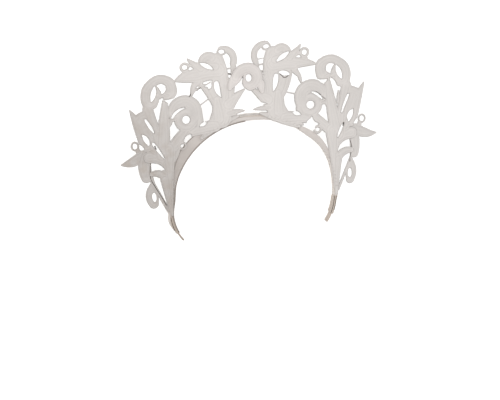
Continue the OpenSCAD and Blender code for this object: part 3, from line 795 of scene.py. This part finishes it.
def new_finish(name, roughness, sheen, specular=0.35):
    """An empty finish with its shader, and a function that adds a wired node."""
    material = bpy.data.materials.new(name)
    material.use_nodes = True
    tree = material.node_tree
    shader = tree.nodes["Principled BSDF"]
    shader.inputs["Roughness"].default_value = roughness
    shader.inputs["Sheen Weight"].default_value = sheen
    shader.inputs["Sheen Roughness"].default_value = 0.5
    shader.inputs["Specular IOR Level"].default_value = specular
    return material, tree, shader, node_adder(tree)


def ramp(node, value, low, high, to_low, to_high, kind="LINEAR"):
    settings = {"interpolation_type": kind}
    made = node("ShaderNodeMapRange", settings, Value=value, From_Min=low, From_Max=high, To_Min=to_low,
                To_Max=to_high)
    return made.outputs["Result"]


def multiply(node, a, b):
    return node("ShaderNodeMath", {"operation": "MULTIPLY"}, i0=a, i1=b).outputs[0]


def cloud(node, place, scale, detail):
    """Soft noise over the object, in lumps of one metre divided by the scale."""
    return node("ShaderNodeTexNoise", Vector=place.outputs["Object"], Scale=scale,
                Detail=detail).outputs["Fac"]


def mixed_colour(node, share, low, high):
    """Between two colours, each a wired one or three numbers."""
    low, high = (c if isinstance(c, bpy.types.NodeSocket) else (*c, 1) for c in (low, high))
    return node("ShaderNodeMix", {"data_type": "RGBA"}, i0=share, i6=low, i7=high).outputs[2]


def bumped(node, height, strength, distance, under=None):
    """A bump from a height, on top of another bump if one is given."""
    wires = {"Height": height, "Strength": strength, "Distance": distance}
    if under is not None:
        wires["Normal"] = under
    return node("ShaderNodeBump", **wires).outputs[0]


# %% Painted shade on the lower left
def painted_shade_side(node, place, darkest_shade=0.66):
    """Painted shade: the tone falls slowly along a diagonal and is darkest at the lower part on the viewer's
    left.
    """
    shade_way, starts_m, ends_m = (-0.8, -0.6, 0), -0.01, 0.1
    slope = node("ShaderNodeVectorMath", {"operation": "DOT_PRODUCT"}, i0=place.outputs["Object"],
                 i1=shade_way)
    return ramp(node, slope.outputs["Value"], starts_m, ends_m, 1.0, darkest_shade, "SMOOTHSTEP")


def brown_painted_shade(node, place, colour):
    """Brown blotches of painted shade, laid by noise only where the painted shade of the lower left falls."""
    brown, most = (0.31, 0.262, 0.222), 0.42
    blotches = ramp(node, cloud(node, place, 130.0, 3.0), 0.42, 0.66, 0.0, most)
    only_in_shade = ramp(node, painted_shade_side(node, place), 0.9, 0.66, 0.0, 1.0)
    return mixed_colour(node, multiply(node, blotches, only_in_shade), colour, brown)


# %% Embroidery thread
def thread_finish(name, colour, shade, strand_mm=0.55):
    """Satin embroidery: strands across the motif, painted shade in the grooves and at the edges, random
    patches, painted shade on the lower left and fine fuzz.
    """
    material, tree, shader, node = new_finish(name, 0.62, 0.25)
    run = node("ShaderNodeUVMap", {"uv_map": "thread"})
    split = node("ShaderNodeSeparateXYZ", Vector=run.outputs[0])
    place = node("ShaderNodeTexCoord")
    wander = multiply(node, cloud(node, place, 260.0, 3.0), 5.0)
    strand_rate = 2 * math.pi / (strand_mm * MM)
    phase = node("ShaderNodeMath", {"operation": "MULTIPLY_ADD"}, i0=split.outputs["X"], i1=strand_rate,
                 i2=wander)
    strands = node("ShaderNodeMath", {"operation": "SINE"}, i0=phase.outputs[0]).outputs[0]
    edge = node("ShaderNodeAttribute", {"attribute_name": "edge_mm"}).outputs["Fac"]
    relief = node("ShaderNodeAttribute", {"attribute_name": "relief_mm"}).outputs["Fac"]
    # Painted shade: darker where the relief is low, in the grooves between motifs, and close to the turned
    # edge.
    tone = multiply(node, ramp(node, relief, 0.02, 0.4, 0.86, 1.0), ramp(node, edge, 0.0, 0.9, 0.93, 1.0))
    tone = multiply(node, tone, ramp(node, cloud(node, place, 42.0, 2.0), 0.3, 0.7, 0.95, 1.03))
    tone = multiply(node, tone, ramp(node, strands, -1.0, 1.0, 0.955, 1.0))
    # Painted shade towards the lower left.
    tone = multiply(node, tone, painted_shade_side(node, place))
    tree.links.new(brown_painted_shade(node, place, mixed_colour(node, tone, shade, colour)), shader.inputs["Base Color"])
    fuzz = cloud(node, place, 1900.0, 2.0)
    relief_of_thread = bumped(node, fuzz, 0.35, 0.00008, bumped(node, strands, 0.5, 0.00006))
    tree.links.new(relief_of_thread, shader.inputs["Normal"])
    return material


lace_finish = thread_finish("ivory_embroidery_thread", (0.535, 0.51, 0.495), (0.13, 0.115, 0.105))
# The middle scroll gets a lighter copy of the same thread, which is painted light because it lies nearer the
# lamp.
lighter_lit_middle_finish = thread_finish("ivory_thread_painted_lighter_middle_scroll", (0.565, 0.535, 0.52), (0.16, 0.14, 0.13))
for node_name, piece in lace.items():
    piece.data.materials.append(lighter_lit_middle_finish if node_name == "centre_scroll" else lace_finish)
print("lace finish on", len(lace), "pieces")


# %% Cloth of the band, its bare tongue and the ribbon
def cloth_finish(name, colour, shade, weave_mm, roughness, sheen, darkest_side_shade=0.66):
    """Woven cloth: warp and weft along the map called thread, soft folds, and painted shade towards the lower
    left.
    """
    material, tree, shader, node = new_finish(name, roughness, sheen)
    run = node("ShaderNodeUVMap", {"uv_map": "thread"})
    place = node("ShaderNodeTexCoord")
    split = node("ShaderNodeSeparateXYZ", Vector=run.outputs[0])
    rate = 2 * math.pi / (weave_mm * MM)
    warp = node("ShaderNodeMath", {"operation": "SINE"},
                i0=multiply(node, split.outputs["X"], rate)).outputs[0]
    weft = node("ShaderNodeMath", {"operation": "SINE"},
                i0=multiply(node, split.outputs["Y"], rate)).outputs[0]
    weave = multiply(node, warp, weft)
    folds = cloud(node, place, 70.0, 4.0)
    tone = multiply(node, ramp(node, folds, 0.3, 0.7, 0.86, 1.04), ramp(node, weave, -1.0, 1.0, 0.95, 1.0))
    tone = multiply(node, tone, painted_shade_side(node, place, darkest_side_shade))
    tree.links.new(mixed_colour(node, tone, shade, colour), shader.inputs["Base Color"])
    tree.links.new(bumped(node, folds, 0.3, 0.0004, bumped(node, weave, 0.4, 0.00005)),
                   shader.inputs["Normal"])
    return material


# Where a last number is given, it sets how dark the cloth's painted shade on the lower left grows; the
# ribbon's is the deepest.
band_finish = cloth_finish("satin_band_cloth", (0.5, 0.447, 0.405), (0.165, 0.13, 0.11), 0.5, 0.48, 0.35)
tongue_finish = cloth_finish("bare_band_tongue", (0.42, 0.36, 0.31), (0.16, 0.12, 0.1), 1.4, 0.38, 0.0)
bound_finish = cloth_finish("bound_band_end", (0.44, 0.38, 0.33), (0.17, 0.135, 0.11), 2.3, 0.55, 0.1, 0.8)
ribbon_finish = cloth_finish("front_ribbon_satin", (0.515, 0.48, 0.46), (0.2, 0.17, 0.15), 0.4, 0.42, 0.3,
                             0.52)
for finish in (band_finish, tongue_finish, bound_finish):
    headband.data.materials.append(finish)
front_ribbon.data.materials.append(ribbon_finish)
print("band, tongue and ribbon are finished")


# %% [markdown]
# ## One tool for every stitch
# The same small arc of thread sews the whole crown: over the lace's edges, through its foot and along the
# ribbon. Geometry Nodes puts it along any line: the line is resampled, an arc is set on each point, turned to
# the line and to a stored outward direction, and everything is made real at the end.

# %% The stitching tree
def stitch_tree():
    """Arcs of thread along a line. Its inputs are in metres and radians."""
    tree = bpy.data.node_groups.new("sew_along", "GeometryNodeTree")
    face = tree.interface
    face.new_socket("Geometry", in_out="INPUT", socket_type="NodeSocketGeometry")
    sizes = {"Spacing": 0.002, "Stitch length": 0.002, "Stitch rise": 0.0004, "Thread radius": 0.0002}
    for label, value in {**sizes, "Turn": 0.0, "Wander": 0.1}.items():
        face.new_socket(label, in_out="INPUT", socket_type="NodeSocketFloat").default_value = value
    face.new_socket("Seed", in_out="INPUT", socket_type="NodeSocketInt").default_value = 7
    face.new_socket("Thread", in_out="INPUT", socket_type="NodeSocketMaterial")
    face.new_socket("Geometry", in_out="OUTPUT", socket_type="NodeSocketGeometry")
    node = node_adder(tree)
    given = node("NodeGroupInput").outputs
    line = node("GeometryNodeMeshToCurve", Mesh=given["Geometry"])
    points = node("GeometryNodeResampleCurve", {"mode": "LENGTH"}, Curve=line.outputs[0],
                  Length=given["Spacing"])
    start = node("ShaderNodeCombineXYZ", X=multiply(node, given["Stitch length"], -0.5))
    middle = node("ShaderNodeCombineXYZ", Z=multiply(node, given["Stitch rise"], 2.0))
    end = node("ShaderNodeCombineXYZ", X=multiply(node, given["Stitch length"], 0.5))
    arc = node("GeometryNodeCurveQuadraticBezier", Resolution=4, Start=start.outputs[0],
               Middle=middle.outputs[0], End=end.outputs[0])
    profile = node("GeometryNodeCurvePrimitiveCircle", Resolution=4, Radius=given["Thread radius"])
    stitch = node("GeometryNodeCurveToMesh", Curve=arc.outputs[0], Profile_Curve=profile.outputs[0],
                  Fill_Caps=True)
    out = node("GeometryNodeInputNamedAttribute", {"data_type": "FLOAT_VECTOR"}, Name="out")
    tangent = node("GeometryNodeInputTangent")
    face_out = node("FunctionNodeAxesToRotation", {"primary_axis": "Z", "secondary_axis": "X"},
                    i0=out.outputs[0], i1=tangent.outputs[0])
    low = node("ShaderNodeMath", {"operation": "SUBTRACT"}, i0=given["Turn"], i1=given["Wander"])
    high = node("ShaderNodeMath", {"operation": "ADD"}, i0=given["Turn"], i1=given["Wander"])
    swing = node("FunctionNodeRandomValue", {"data_type": "FLOAT"}, i2=low.outputs[0], i3=high.outputs[0],
                 Seed=given["Seed"])
    about = node("FunctionNodeAxisAngleToRotation", Axis=(0.0, 0.0, 1.0), Angle=swing.outputs[1])
    turned = node("FunctionNodeRotateRotation", {"rotation_space": "LOCAL"}, i0=face_out.outputs[0],
                  i1=about.outputs[0])
    grow = node("FunctionNodeRandomValue", {"data_type": "FLOAT"}, i2=0.9, i3=1.1, Seed=given["Seed"])
    set_down = node("GeometryNodeInstanceOnPoints", Points=points.outputs[0], Instance=stitch.outputs[0],
                    Rotation=turned.outputs[0], Scale=grow.outputs[1])
    real = node("GeometryNodeRealizeInstances", Geometry=set_down.outputs[0])
    smooth = node("GeometryNodeSetShadeSmooth", Geometry=real.outputs[0])
    painted = node("GeometryNodeSetMaterial", Geometry=smooth.outputs[0], Material=given["Thread"])
    result = tree.nodes.new("NodeGroupOutput")
    tree.links.new(painted.outputs[0], result.inputs[0])
    return tree


sew_along = stitch_tree()
print("stitching tree:", len(sew_along.nodes), "nodes")


# %% Use the tree on a set of lines
def sew(name, lines, spacing, length, rise, thread, turn, wander, finish, seed=7):
    """lines holds (points in arch millimetres, outward directions, closed). Sizes are in millimetres."""
    points, outs, edges, count = [], [], [], 0
    for line, out, closed in lines:
        n = len(line)
        order = np.arange(n) + count
        edges.append(np.c_[order, np.roll(order, -1)][: n if closed else n - 1])
        points.append(line)
        outs.append(out)
        count += n
    mesh = bpy.data.meshes.new(name + "_lines")
    mesh.from_pydata(in_frame(np.concatenate(points)).tolist(), np.concatenate(edges).tolist(), [])
    outwards = mesh.attributes.new("out", "FLOAT_VECTOR", "POINT")
    outwards.data.foreach_set("vector", np.concatenate(outs).astype(np.float32).ravel())
    holder = bpy.data.objects.new(name + "_lines", mesh)
    bpy.context.scene.collection.objects.link(holder)
    tool = holder.modifiers.new("sew", "NODES")
    tool.node_group = sew_along
    names = {s.name: s.identifier for s in sew_along.interface.items_tree if s.in_out == "INPUT"}
    values = {"Spacing": spacing * MM, "Stitch length": length * MM, "Stitch rise": rise * MM,
              "Thread radius": thread * MM, "Turn": math.radians(turn), "Wander": math.radians(wander),
              "Seed": seed, "Thread": finish}
    for label, value in values.items():
        tool[names[label]] = value
    bpy.context.view_layer.update()
    graph = bpy.context.evaluated_depsgraph_get()
    made = bpy.data.meshes.new_from_object(holder.evaluated_get(graph), depsgraph=graph)
    bpy.data.objects.remove(holder)
    made.materials.clear()
    made.materials.append(finish)
    made.name = name
    piece = bpy.data.objects.new(name, made)
    bpy.context.scene.collection.objects.link(piece)
    print(" ", name, len(made.polygons), "faces")
    return piece


# %% Plain thread for the stitches
def stitch_finish(name, colour, rough=0.6):
    """Twisted thread, wire wrapping or a brown tube, with painted shade between its turns laid as a fine
    noise.
    """
    material, tree, shader, node = new_finish(name, rough, 0.2)
    twist = cloud(node, node("ShaderNodeTexCoord"), 900.0, 2.0)
    darker = tuple(c * 0.72 for c in colour)
    tree.links.new(mixed_colour(node, twist, darker, colour), shader.inputs["Base Color"])
    tree.links.new(bumped(node, twist, 0.5, 0.00006), shader.inputs["Normal"])
    return material


pale_thread = stitch_finish("pale_sewing_thread", (0.52, 0.49, 0.47))
dark_wire = stitch_finish("dark_wrapped_wire", (0.075, 0.06, 0.05), 0.5)
# The brown finish is for tubes of painted shadow, and for the band's inner edge, which is partly real.
brown_shadow_and_edge = stitch_finish("brown_painted_shadow_and_edge", (0.27, 0.235, 0.21), 0.5)
print("thread and wire finishes are ready")

# %% [markdown]
# ## Stitches over the lace's edge
# The edge of cut guipure is bound with overcast stitches. The lines come from the same depth field: the
# outline's points are chained into loops, and each stitch bows outwards over the rounded edge.

# %% Chain the outline into loops
def outline_loops(fields, step, inset):
    """Closed loops of points at a depth inside the outline, with outward directions in the plane."""
    x, y, depth = fields[:3]
    cuts, faces, inner = outline_mesh(depth - inset, step)
    i0, i1, share = cut_ends(cuts)
    points = np.c_[x[i0] * (1 - share) + x[i1] * share, y[i0] * (1 - share) + y[i1] * share]
    follow = {}
    for f in faces.values():
        for a, b in zip(f.ravel(), np.roll(f, -1, 1).ravel()):
            if a >= inner and b >= inner:
                follow[a] = b
    loops, seen = [], set()
    for start in list(follow):
        if start in seen:
            continue
        loop, at = [], start
        while at in follow and at not in seen:
            seen.add(at)
            loop.append(at)
            at = follow[at]
        if len(loop) > 8:
            line = points[loop]
            line = (np.roll(line, 1, 0) + 2 * line + np.roll(line, -1, 0)) / 4
            way = np.roll(line, -1, 0) - np.roll(line, 1, 0)
            out = np.c_[way[:, 1], -way[:, 0]] / np.maximum(np.hypot(*way.T), 1e-9)[:, None]
            loops.append((line, out))
    return loops


def edge_lines(loops, level, lean, side):
    """The loops lifted to the rounded edge of a lace piece, as lines to sew along."""
    edge_share, lines = 0.68, []
    for line, out in loops:
        y = line[:, 1] + lace_rise
        z = lace_level(np.hypot(line[:, 0], y), level, lean) + edge_share * lace_thick
        lines.append((np.c_[side * line[:, 0], y, z], np.c_[side * out[:, 0], out[:, 1], 0 * y], True))
    return lines


SEW_INSET = 0.5
panel_loops = {word: outline_loops(fields, LACE_STEP, SEW_INSET) for word, fields in panel_fields.items()}
spray_loops = {word: outline_loops(fields, LACE_STEP, SEW_INSET) for word, fields in spray_fields.items()}
centre_loops = outline_loops(centre_fields, LACE_STEP, SEW_INSET)
around = sum(np.hypot(*np.diff(line, axis=0).T).sum() for line, _ in panel_loops["left"])
print("the left panel has", len(panel_loops["left"]), "loops,", round(around), "mm of edge")

# %% Overcast the edges
overcast = []
for word, side in sides.items():
    lines = edge_lines(panel_loops[word], panel_z, panel_lean, side)
    lines += edge_lines(spray_loops[word], spray_z, spray_lean, side)
    if word == "right":
        lines += edge_lines(centre_loops, centre_z, panel_lean, 1)
    overcast.append(sew("overcast_" + word, lines, 0.85, 1.55, 0.62, 0.13, 90, 9, pale_thread))
for piece in overcast:
    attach(piece, "root")

# %% [markdown]
# ## Seams
# Slanted stitches hold the lace's foot on the ribbon, running stitches hold the ribbon on the band, and a row
# inside the band closes its cloth. Only places where the photograph shows the pieces joined are sewn.

# %% Lines along the arch
def arc_line(radius, a0, a1, z, out="front", steps=60):
    a = np.radians(np.linspace(a0, a1, steps))
    line = np.c_[radius * np.cos(a), radius * np.sin(a), np.full(steps, z)]
    face = np.c_[0 * a, 0 * a, 0 * a + 1] if out == "front" else np.c_[-np.cos(a), -np.sin(a), 0 * a]
    return line, face, False


seams = []
front_of_lace = panel_z + lace_thick - 0.35
foot_lines = [arc_line(83.6, 54, 78, front_of_lace), arc_line(83.6, 102, 126, front_of_lace),
              arc_line(81.6, 4, 30, front_of_lace), arc_line(81.6, 150, 176, front_of_lace)]
seams.append(sew("foot_stitches", foot_lines, 3.6, 3.0, 0.5, 0.2, 62, 8, pale_thread, 3))
ribbon_turns = np.linspace(17, 163, 240)
ribbon_lines = [arc_line(band_inner_r + 1.2 + pulled(ribbon_turns), 17, 163, strip_z + strip_thick - 0.12,
                         steps=240)]
seams.append(sew("ribbon_stitches", ribbon_lines, 3.2, 2.0, 0.22, 0.16, 4, 4, pale_thread, 5))
inside_line = [(np.c_[band_points - band_out * 0.02, np.full(len(band_points), 6.0)][band_part == 2],
                np.c_[-band_out, np.zeros(len(band_out))][band_part == 2], False)]
seams.append(sew("inside_seam", inside_line, 2.4, 1.9, 0.16, 0.14, 24, 5, pale_thread, 9))
for piece in seams:
    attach(piece, "root")


# %% [markdown]
# ## Wires and ties
# Each side spray hangs on a dark wrapped wire, which shows along the inner edge of its curled leaf. Small
# dark ties bind scrolls that only touch. On the viewer's left, brown tubes are painted shadow along the
# ribbon's free edge and beside the stem, and the brown tube along the band's inner edge is partly the band's
# real dark edge and partly painted contact shadow. All of them are tubes swept along a smooth line through
# a few points.

# %% Sweep a tube along a smooth line
def smooth_line(points, count):
    """A curve through every point, with count steps from one to the next."""
    points = np.asarray(points, float)
    padded = np.r_[2 * points[:1] - points[1:2], points, 2 * points[-1:] - points[-2:-1]]
    out = []
    for k in range(len(points) - 1):
        p0, p1, p2, p3 = padded[k:k + 4]
        for t in np.linspace(0, 1, count, endpoint=k == len(points) - 2):
            square, cube = 2 * p0 - 5 * p1 + 4 * p2 - p3, 3 * p1 - p0 - 3 * p2 + p3
            out.append(0.5 * (2 * p1 + (p2 - p0) * t + square * t**2 + cube * t**3))
    return np.array(out)


def tube(name, lines, radius, finish, sides=8, wrap=0.0):
    """A closed tube along each line. wrap is how much the turns of a wrapping swell it."""
    turn_step, end_taper = 2.1, 0.6
    points, faces, caps, count = [], [], [], 0
    for line in lines:
        way = np.gradient(line, axis=0)
        way /= np.linalg.norm(way, axis=1)[:, None]
        side = np.cross(way, [0, 0, 1.0])
        side /= np.linalg.norm(side, axis=1)[:, None]
        up = np.cross(side, way)
        turn = np.linspace(0, 2 * math.pi, sides, endpoint=False)
        thick = radius * (1 + wrap * np.sin(np.arange(len(line)) * turn_step))
        thick[[0, -1]] *= end_taper
        spokes = np.cos(turn)[None, :, None] * side[:, None] + np.sin(turn)[None, :, None] * up[:, None]
        ringed = line[:, None] + thick[:, None, None] * spokes
        index = np.arange(len(line) * sides).reshape(len(line), sides) + count
        a, b = index[:-1], index[1:]
        faces.append(np.stack([a, b, np.roll(b, -1, 1), np.roll(a, -1, 1)], 2).reshape(-1, 4))
        caps += [index[0][None, :], index[-1][::-1][None, :]]
        points.append(ringed.reshape(-1, 3))
        count += len(line) * sides
    piece = plain_mesh(name, in_frame(np.concatenate(points)), faces + caps)
    piece.data.materials.append(finish)
    return piece


ribbon_back = strip_z - 0.4
lace_layers = {"panel": (panel_z, panel_lean), "spray": (spray_z, spray_lean),
               "middle": (centre_z, panel_lean), "ribbon": (ribbon_back, 0)}


def on_lace(points, layer, side, lift):
    """Points on the front of a lace layer, in arch millimetres."""
    z, lean = lace_layers[layer]
    line = smooth_line(points, 8)
    y = line[:, 1] + lace_rise
    return np.c_[side * line[:, 0], y, lace_level(np.hypot(line[:, 0], y), z, lean) + lace_thick + lift]


left_wire = [(97.5, 49), (98.4, 44.1), (98.9, 37.3), (98.6, 32.4), (97.2, 28.8), (95, 24.6), (91.8, 18.3),
             (88.4, 11.7), (85.8, 5.5)]
right_wires = [[(97.8, 47.5), (98.7, 43.9), (99.3, 40), (99, 37.5)],
               [(98.6, 35.5), (97.4, 32.2), (96.7, 29.3), (96.6, 25.6)]]
wires = [tube("leaf_wire_left", [on_lace(left_wire, "spray", -1, -0.2)], 0.36, dark_wire, 8, 0.15),
         tube("leaf_wire_right", [on_lace(line, "spray", 1, -0.2) for line in right_wires], 0.34, dark_wire,
              8, 0.15)]
print(len(wires), "wires")

# %% Dark ties where scrolls touch
# Each row is a layer, a side, the thread's radius and the points that it passes.
tie_rows = [
    ("panel", -1, 0.55, [(17.8, 126.4), (16.2, 126), (14.6, 125.4)]),
    ("panel", -1, 0.4, [(49, 113.6), (46.9, 115.2), (45, 115.8)]),
    ("panel", -1, 0.45, [(57, 108.6), (55.8, 109.4), (54.8, 111.4)]),
    ("panel", -1, 0.5, [(93, 65.4), (92.6, 63.4), (91.8, 61.8)]),
    ("panel", 1, 0.42, [(32.2, 120.6), (34.4, 118.2), (36.2, 116.4), (38.7, 116.6), (40.6, 118)]),
    ("panel", 1, 0.3, [(66.4, 99.4), (68.8, 97.4), (71.4, 94.8)]),
    ("panel", 1, 0.3, [(72.6, 93.6), (74.2, 91.9), (75.6, 90.6)]),
    ("panel", 1, 0.5, [(92, 66), (91.6, 64.1), (91.2, 62.4)]),
    ("panel", 1, 0.32, [(15.8, 124.9), (16.3, 123.6)]),
    ("middle", 1, 0.25, [(-4.4, 122.2), (-4, 120.8)]),
    ("ribbon", 1, 0.5, [(44.6, 67.9), (46.6, 66.6), (47.8, 64.9)]),
]
ties = []
for n, (layer, side, radius, points) in enumerate(tie_rows):
    ties.append(tube(f"dark_tie_{n + 1}", [on_lace(points, layer, side, -0.25)], radius, dark_wire, 8, 0.2))
over_branch = on_lace([(43.6, 116.4), (39.2, 118.3), (34.6, 120.5)], "panel", -1, -0.5)
ties.append(tube("pale_thread_over_the_branch", [over_branch], 0.42, pale_thread, 8, 0.1))
for piece in wires + ties:
    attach(piece, "root")
print(len(ties), "ties and threads")

# %% Brown tubes on the left: painted shadow by the ribbon and the stem, and the band's inner edge, partly painted shadow
# The brown tube along the band's inner edge on the left is partly the band's real dark edge and partly
# painted contact shadow.
left_half = [n for n in range(len(band_points)) if band_points[n][0] < -3]
inner_edge = np.c_[(band_points + band_out * 0.1)[left_half], np.full(len(left_half), 13.15)]
down_the_arm = run_mm[left_half]
inner_edge[:, 2] -= 1.1 * np.clip(1 - (down_the_arm - 34) / 8, 0, 1)
# Painted shadow: a brown tube along the ribbon's free outer edge, where the lace foot shades it.
turn = np.radians(np.linspace(126, 163.5, 60))
reach = np.interp(np.degrees(turn), *np.array(left_edge).T) - 0.25
outer_edge = np.c_[reach * np.cos(turn), reach * np.sin(turn), np.full(60, strip_z + strip_thick - 0.1)]
# Painted shadow: a thin brown tube along the stem's edge.
stem_shadow_line = on_lace([(68.4, 58.6), (72, 51.5), (75.4, 43.3), (77.6, 34.9), (78.6, 27)], "panel", -1, -0.3)
bound_end = [n for n in range(len(band_points)) if band_part[n] == 1]
left_end, right_end = ([n for n in bound_end if band_points[n][0] * side > 0] for side in (-1, 1))
edge_rows = [(left_end, 0.0), (left_end[7:], 2.7), (right_end, -0.4), (right_end[:-7], 1.5)]
end_edges = [np.c_[(band_points + band_out * off)[half], np.full(len(half), 11.75)] for half,
             off in edge_rows]
edges_and_painted_shadows = [tube("inner_edge_and_painted_shadow", [inner_edge[down_the_arm > 12][::2]], 0.7, brown_shadow_and_edge, 8, 0.06),
            tube("outer_painted_shadow", [outer_edge], 0.48, brown_shadow_and_edge, 8, 0.06),
            tube("stem_painted_shadow", [stem_shadow_line], 0.26, brown_shadow_and_edge, 8, 0.1),
            tube("bound_end_threads", end_edges, 0.34, dark_wire, 8, 0.25)]
for piece in edges_and_painted_shadows:
    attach(piece, "root")
print("bindings:", [len(piece.data.polygons) for piece in edges_and_painted_shadows], "faces")

# %% [markdown]
# ## Floor, light and camera
# The floor is plain and pale. The main light stands close to the camera's own line, so the gaps stay white. A
# weak cool light and a weak warm one stand at the sides, and an even sky fills the shadows. The camera looks
# from the photograph's side and height, so the crown lies on its back and is still seen as it would be worn.

# %% Floor
def plain_floor():
    half_m, dim, bright = 4.0, (0.93, 0.93, 0.93), (0.95, 0.95, 0.95)
    corners = np.array([[-1, -1, 0], [1, -1, 0], [1, 1, 0], [-1, 1, 0]]) * half_m
    floor = plain_mesh("floor", corners, [np.array([[0, 1, 2, 3]])])
    material, tree, shader, node = new_finish("pale_floor", 0.9, 0.0, 0.1)
    mottle = cloud(node, node("ShaderNodeTexCoord"), 3.0, 2.0)
    tree.links.new(mixed_colour(node, mottle, dim, bright), shader.inputs["Base Color"])
    floor.data.materials.append(material)
    return floor


floor = plain_floor()
print("floor is", floor.name)


# %% Lights
def soft_light(name, place, size, watts, colour):
    lamp = bpy.data.lights.new(name, "AREA")
    lamp.shape, lamp.size, lamp.energy, lamp.color = "DISK", size, watts, colour
    holder = bpy.data.objects.new(name, lamp)
    holder.location = place
    holder.rotation_euler = (Vector((0, 0, 0.01)) - Vector(place)).to_track_quat("-Z", "Y").to_euler()
    bpy.context.scene.collection.objects.link(holder)
    return holder


soft_light("key", (-0.63, 0.83, 2.92), 0.2, 92.0, (1.0, 0.99, 0.975))
soft_light("cool_side", (1.1, 0.35, 0.9), 0.6, 3.0, (0.92, 0.97, 1.0))
soft_light("warm_side", (-1.2, -0.2, 0.8), 0.9, 2.5, (1.0, 0.9, 0.82))
world = bpy.data.worlds.new("studio")
world.use_nodes = True
sky = world.node_tree.nodes["Background"].inputs
sky["Color"].default_value, sky["Strength"].default_value = (1.0, 1.0, 1.0, 1), 0.3
bpy.context.scene.world = world
bpy.context.scene.view_settings.view_transform = "Standard"

# %% Camera at the photograph's angle
yaw, tilt, roll, away_mm, lens = 13.0, 16.0, 3.64, 3100.0, 234.0
look_at = np.array([-4.85, 2.2, 15.0])
y_, t_, r_ = (math.radians(a) for a in (yaw, tilt, roll))
toward = np.array([-math.sin(y_) * math.cos(t_), math.sin(t_), math.cos(y_) * math.cos(t_)])
level_right = np.array([math.cos(y_), 0, math.sin(y_)])
level_up = np.cross(toward, level_right)
right = level_right * math.cos(r_) - level_up * math.sin(r_)
up = level_right * math.sin(r_) + level_up * math.cos(r_)
camera_data = bpy.data.cameras.new("camera")
camera_data.lens, camera_data.sensor_width, camera_data.clip_end = lens, 36.0, 50.0
camera = bpy.data.objects.new("camera", camera_data)
bpy.context.scene.collection.objects.link(camera)
spot = in_frame(look_at + away_mm * toward)
camera.matrix_world = Matrix(np.vstack([np.c_[right, up, toward, spot], [0, 0, 0, 1]]).tolist())
bpy.context.scene.camera = camera
print("camera stands", round(spot[2], 2), "m above the floor")
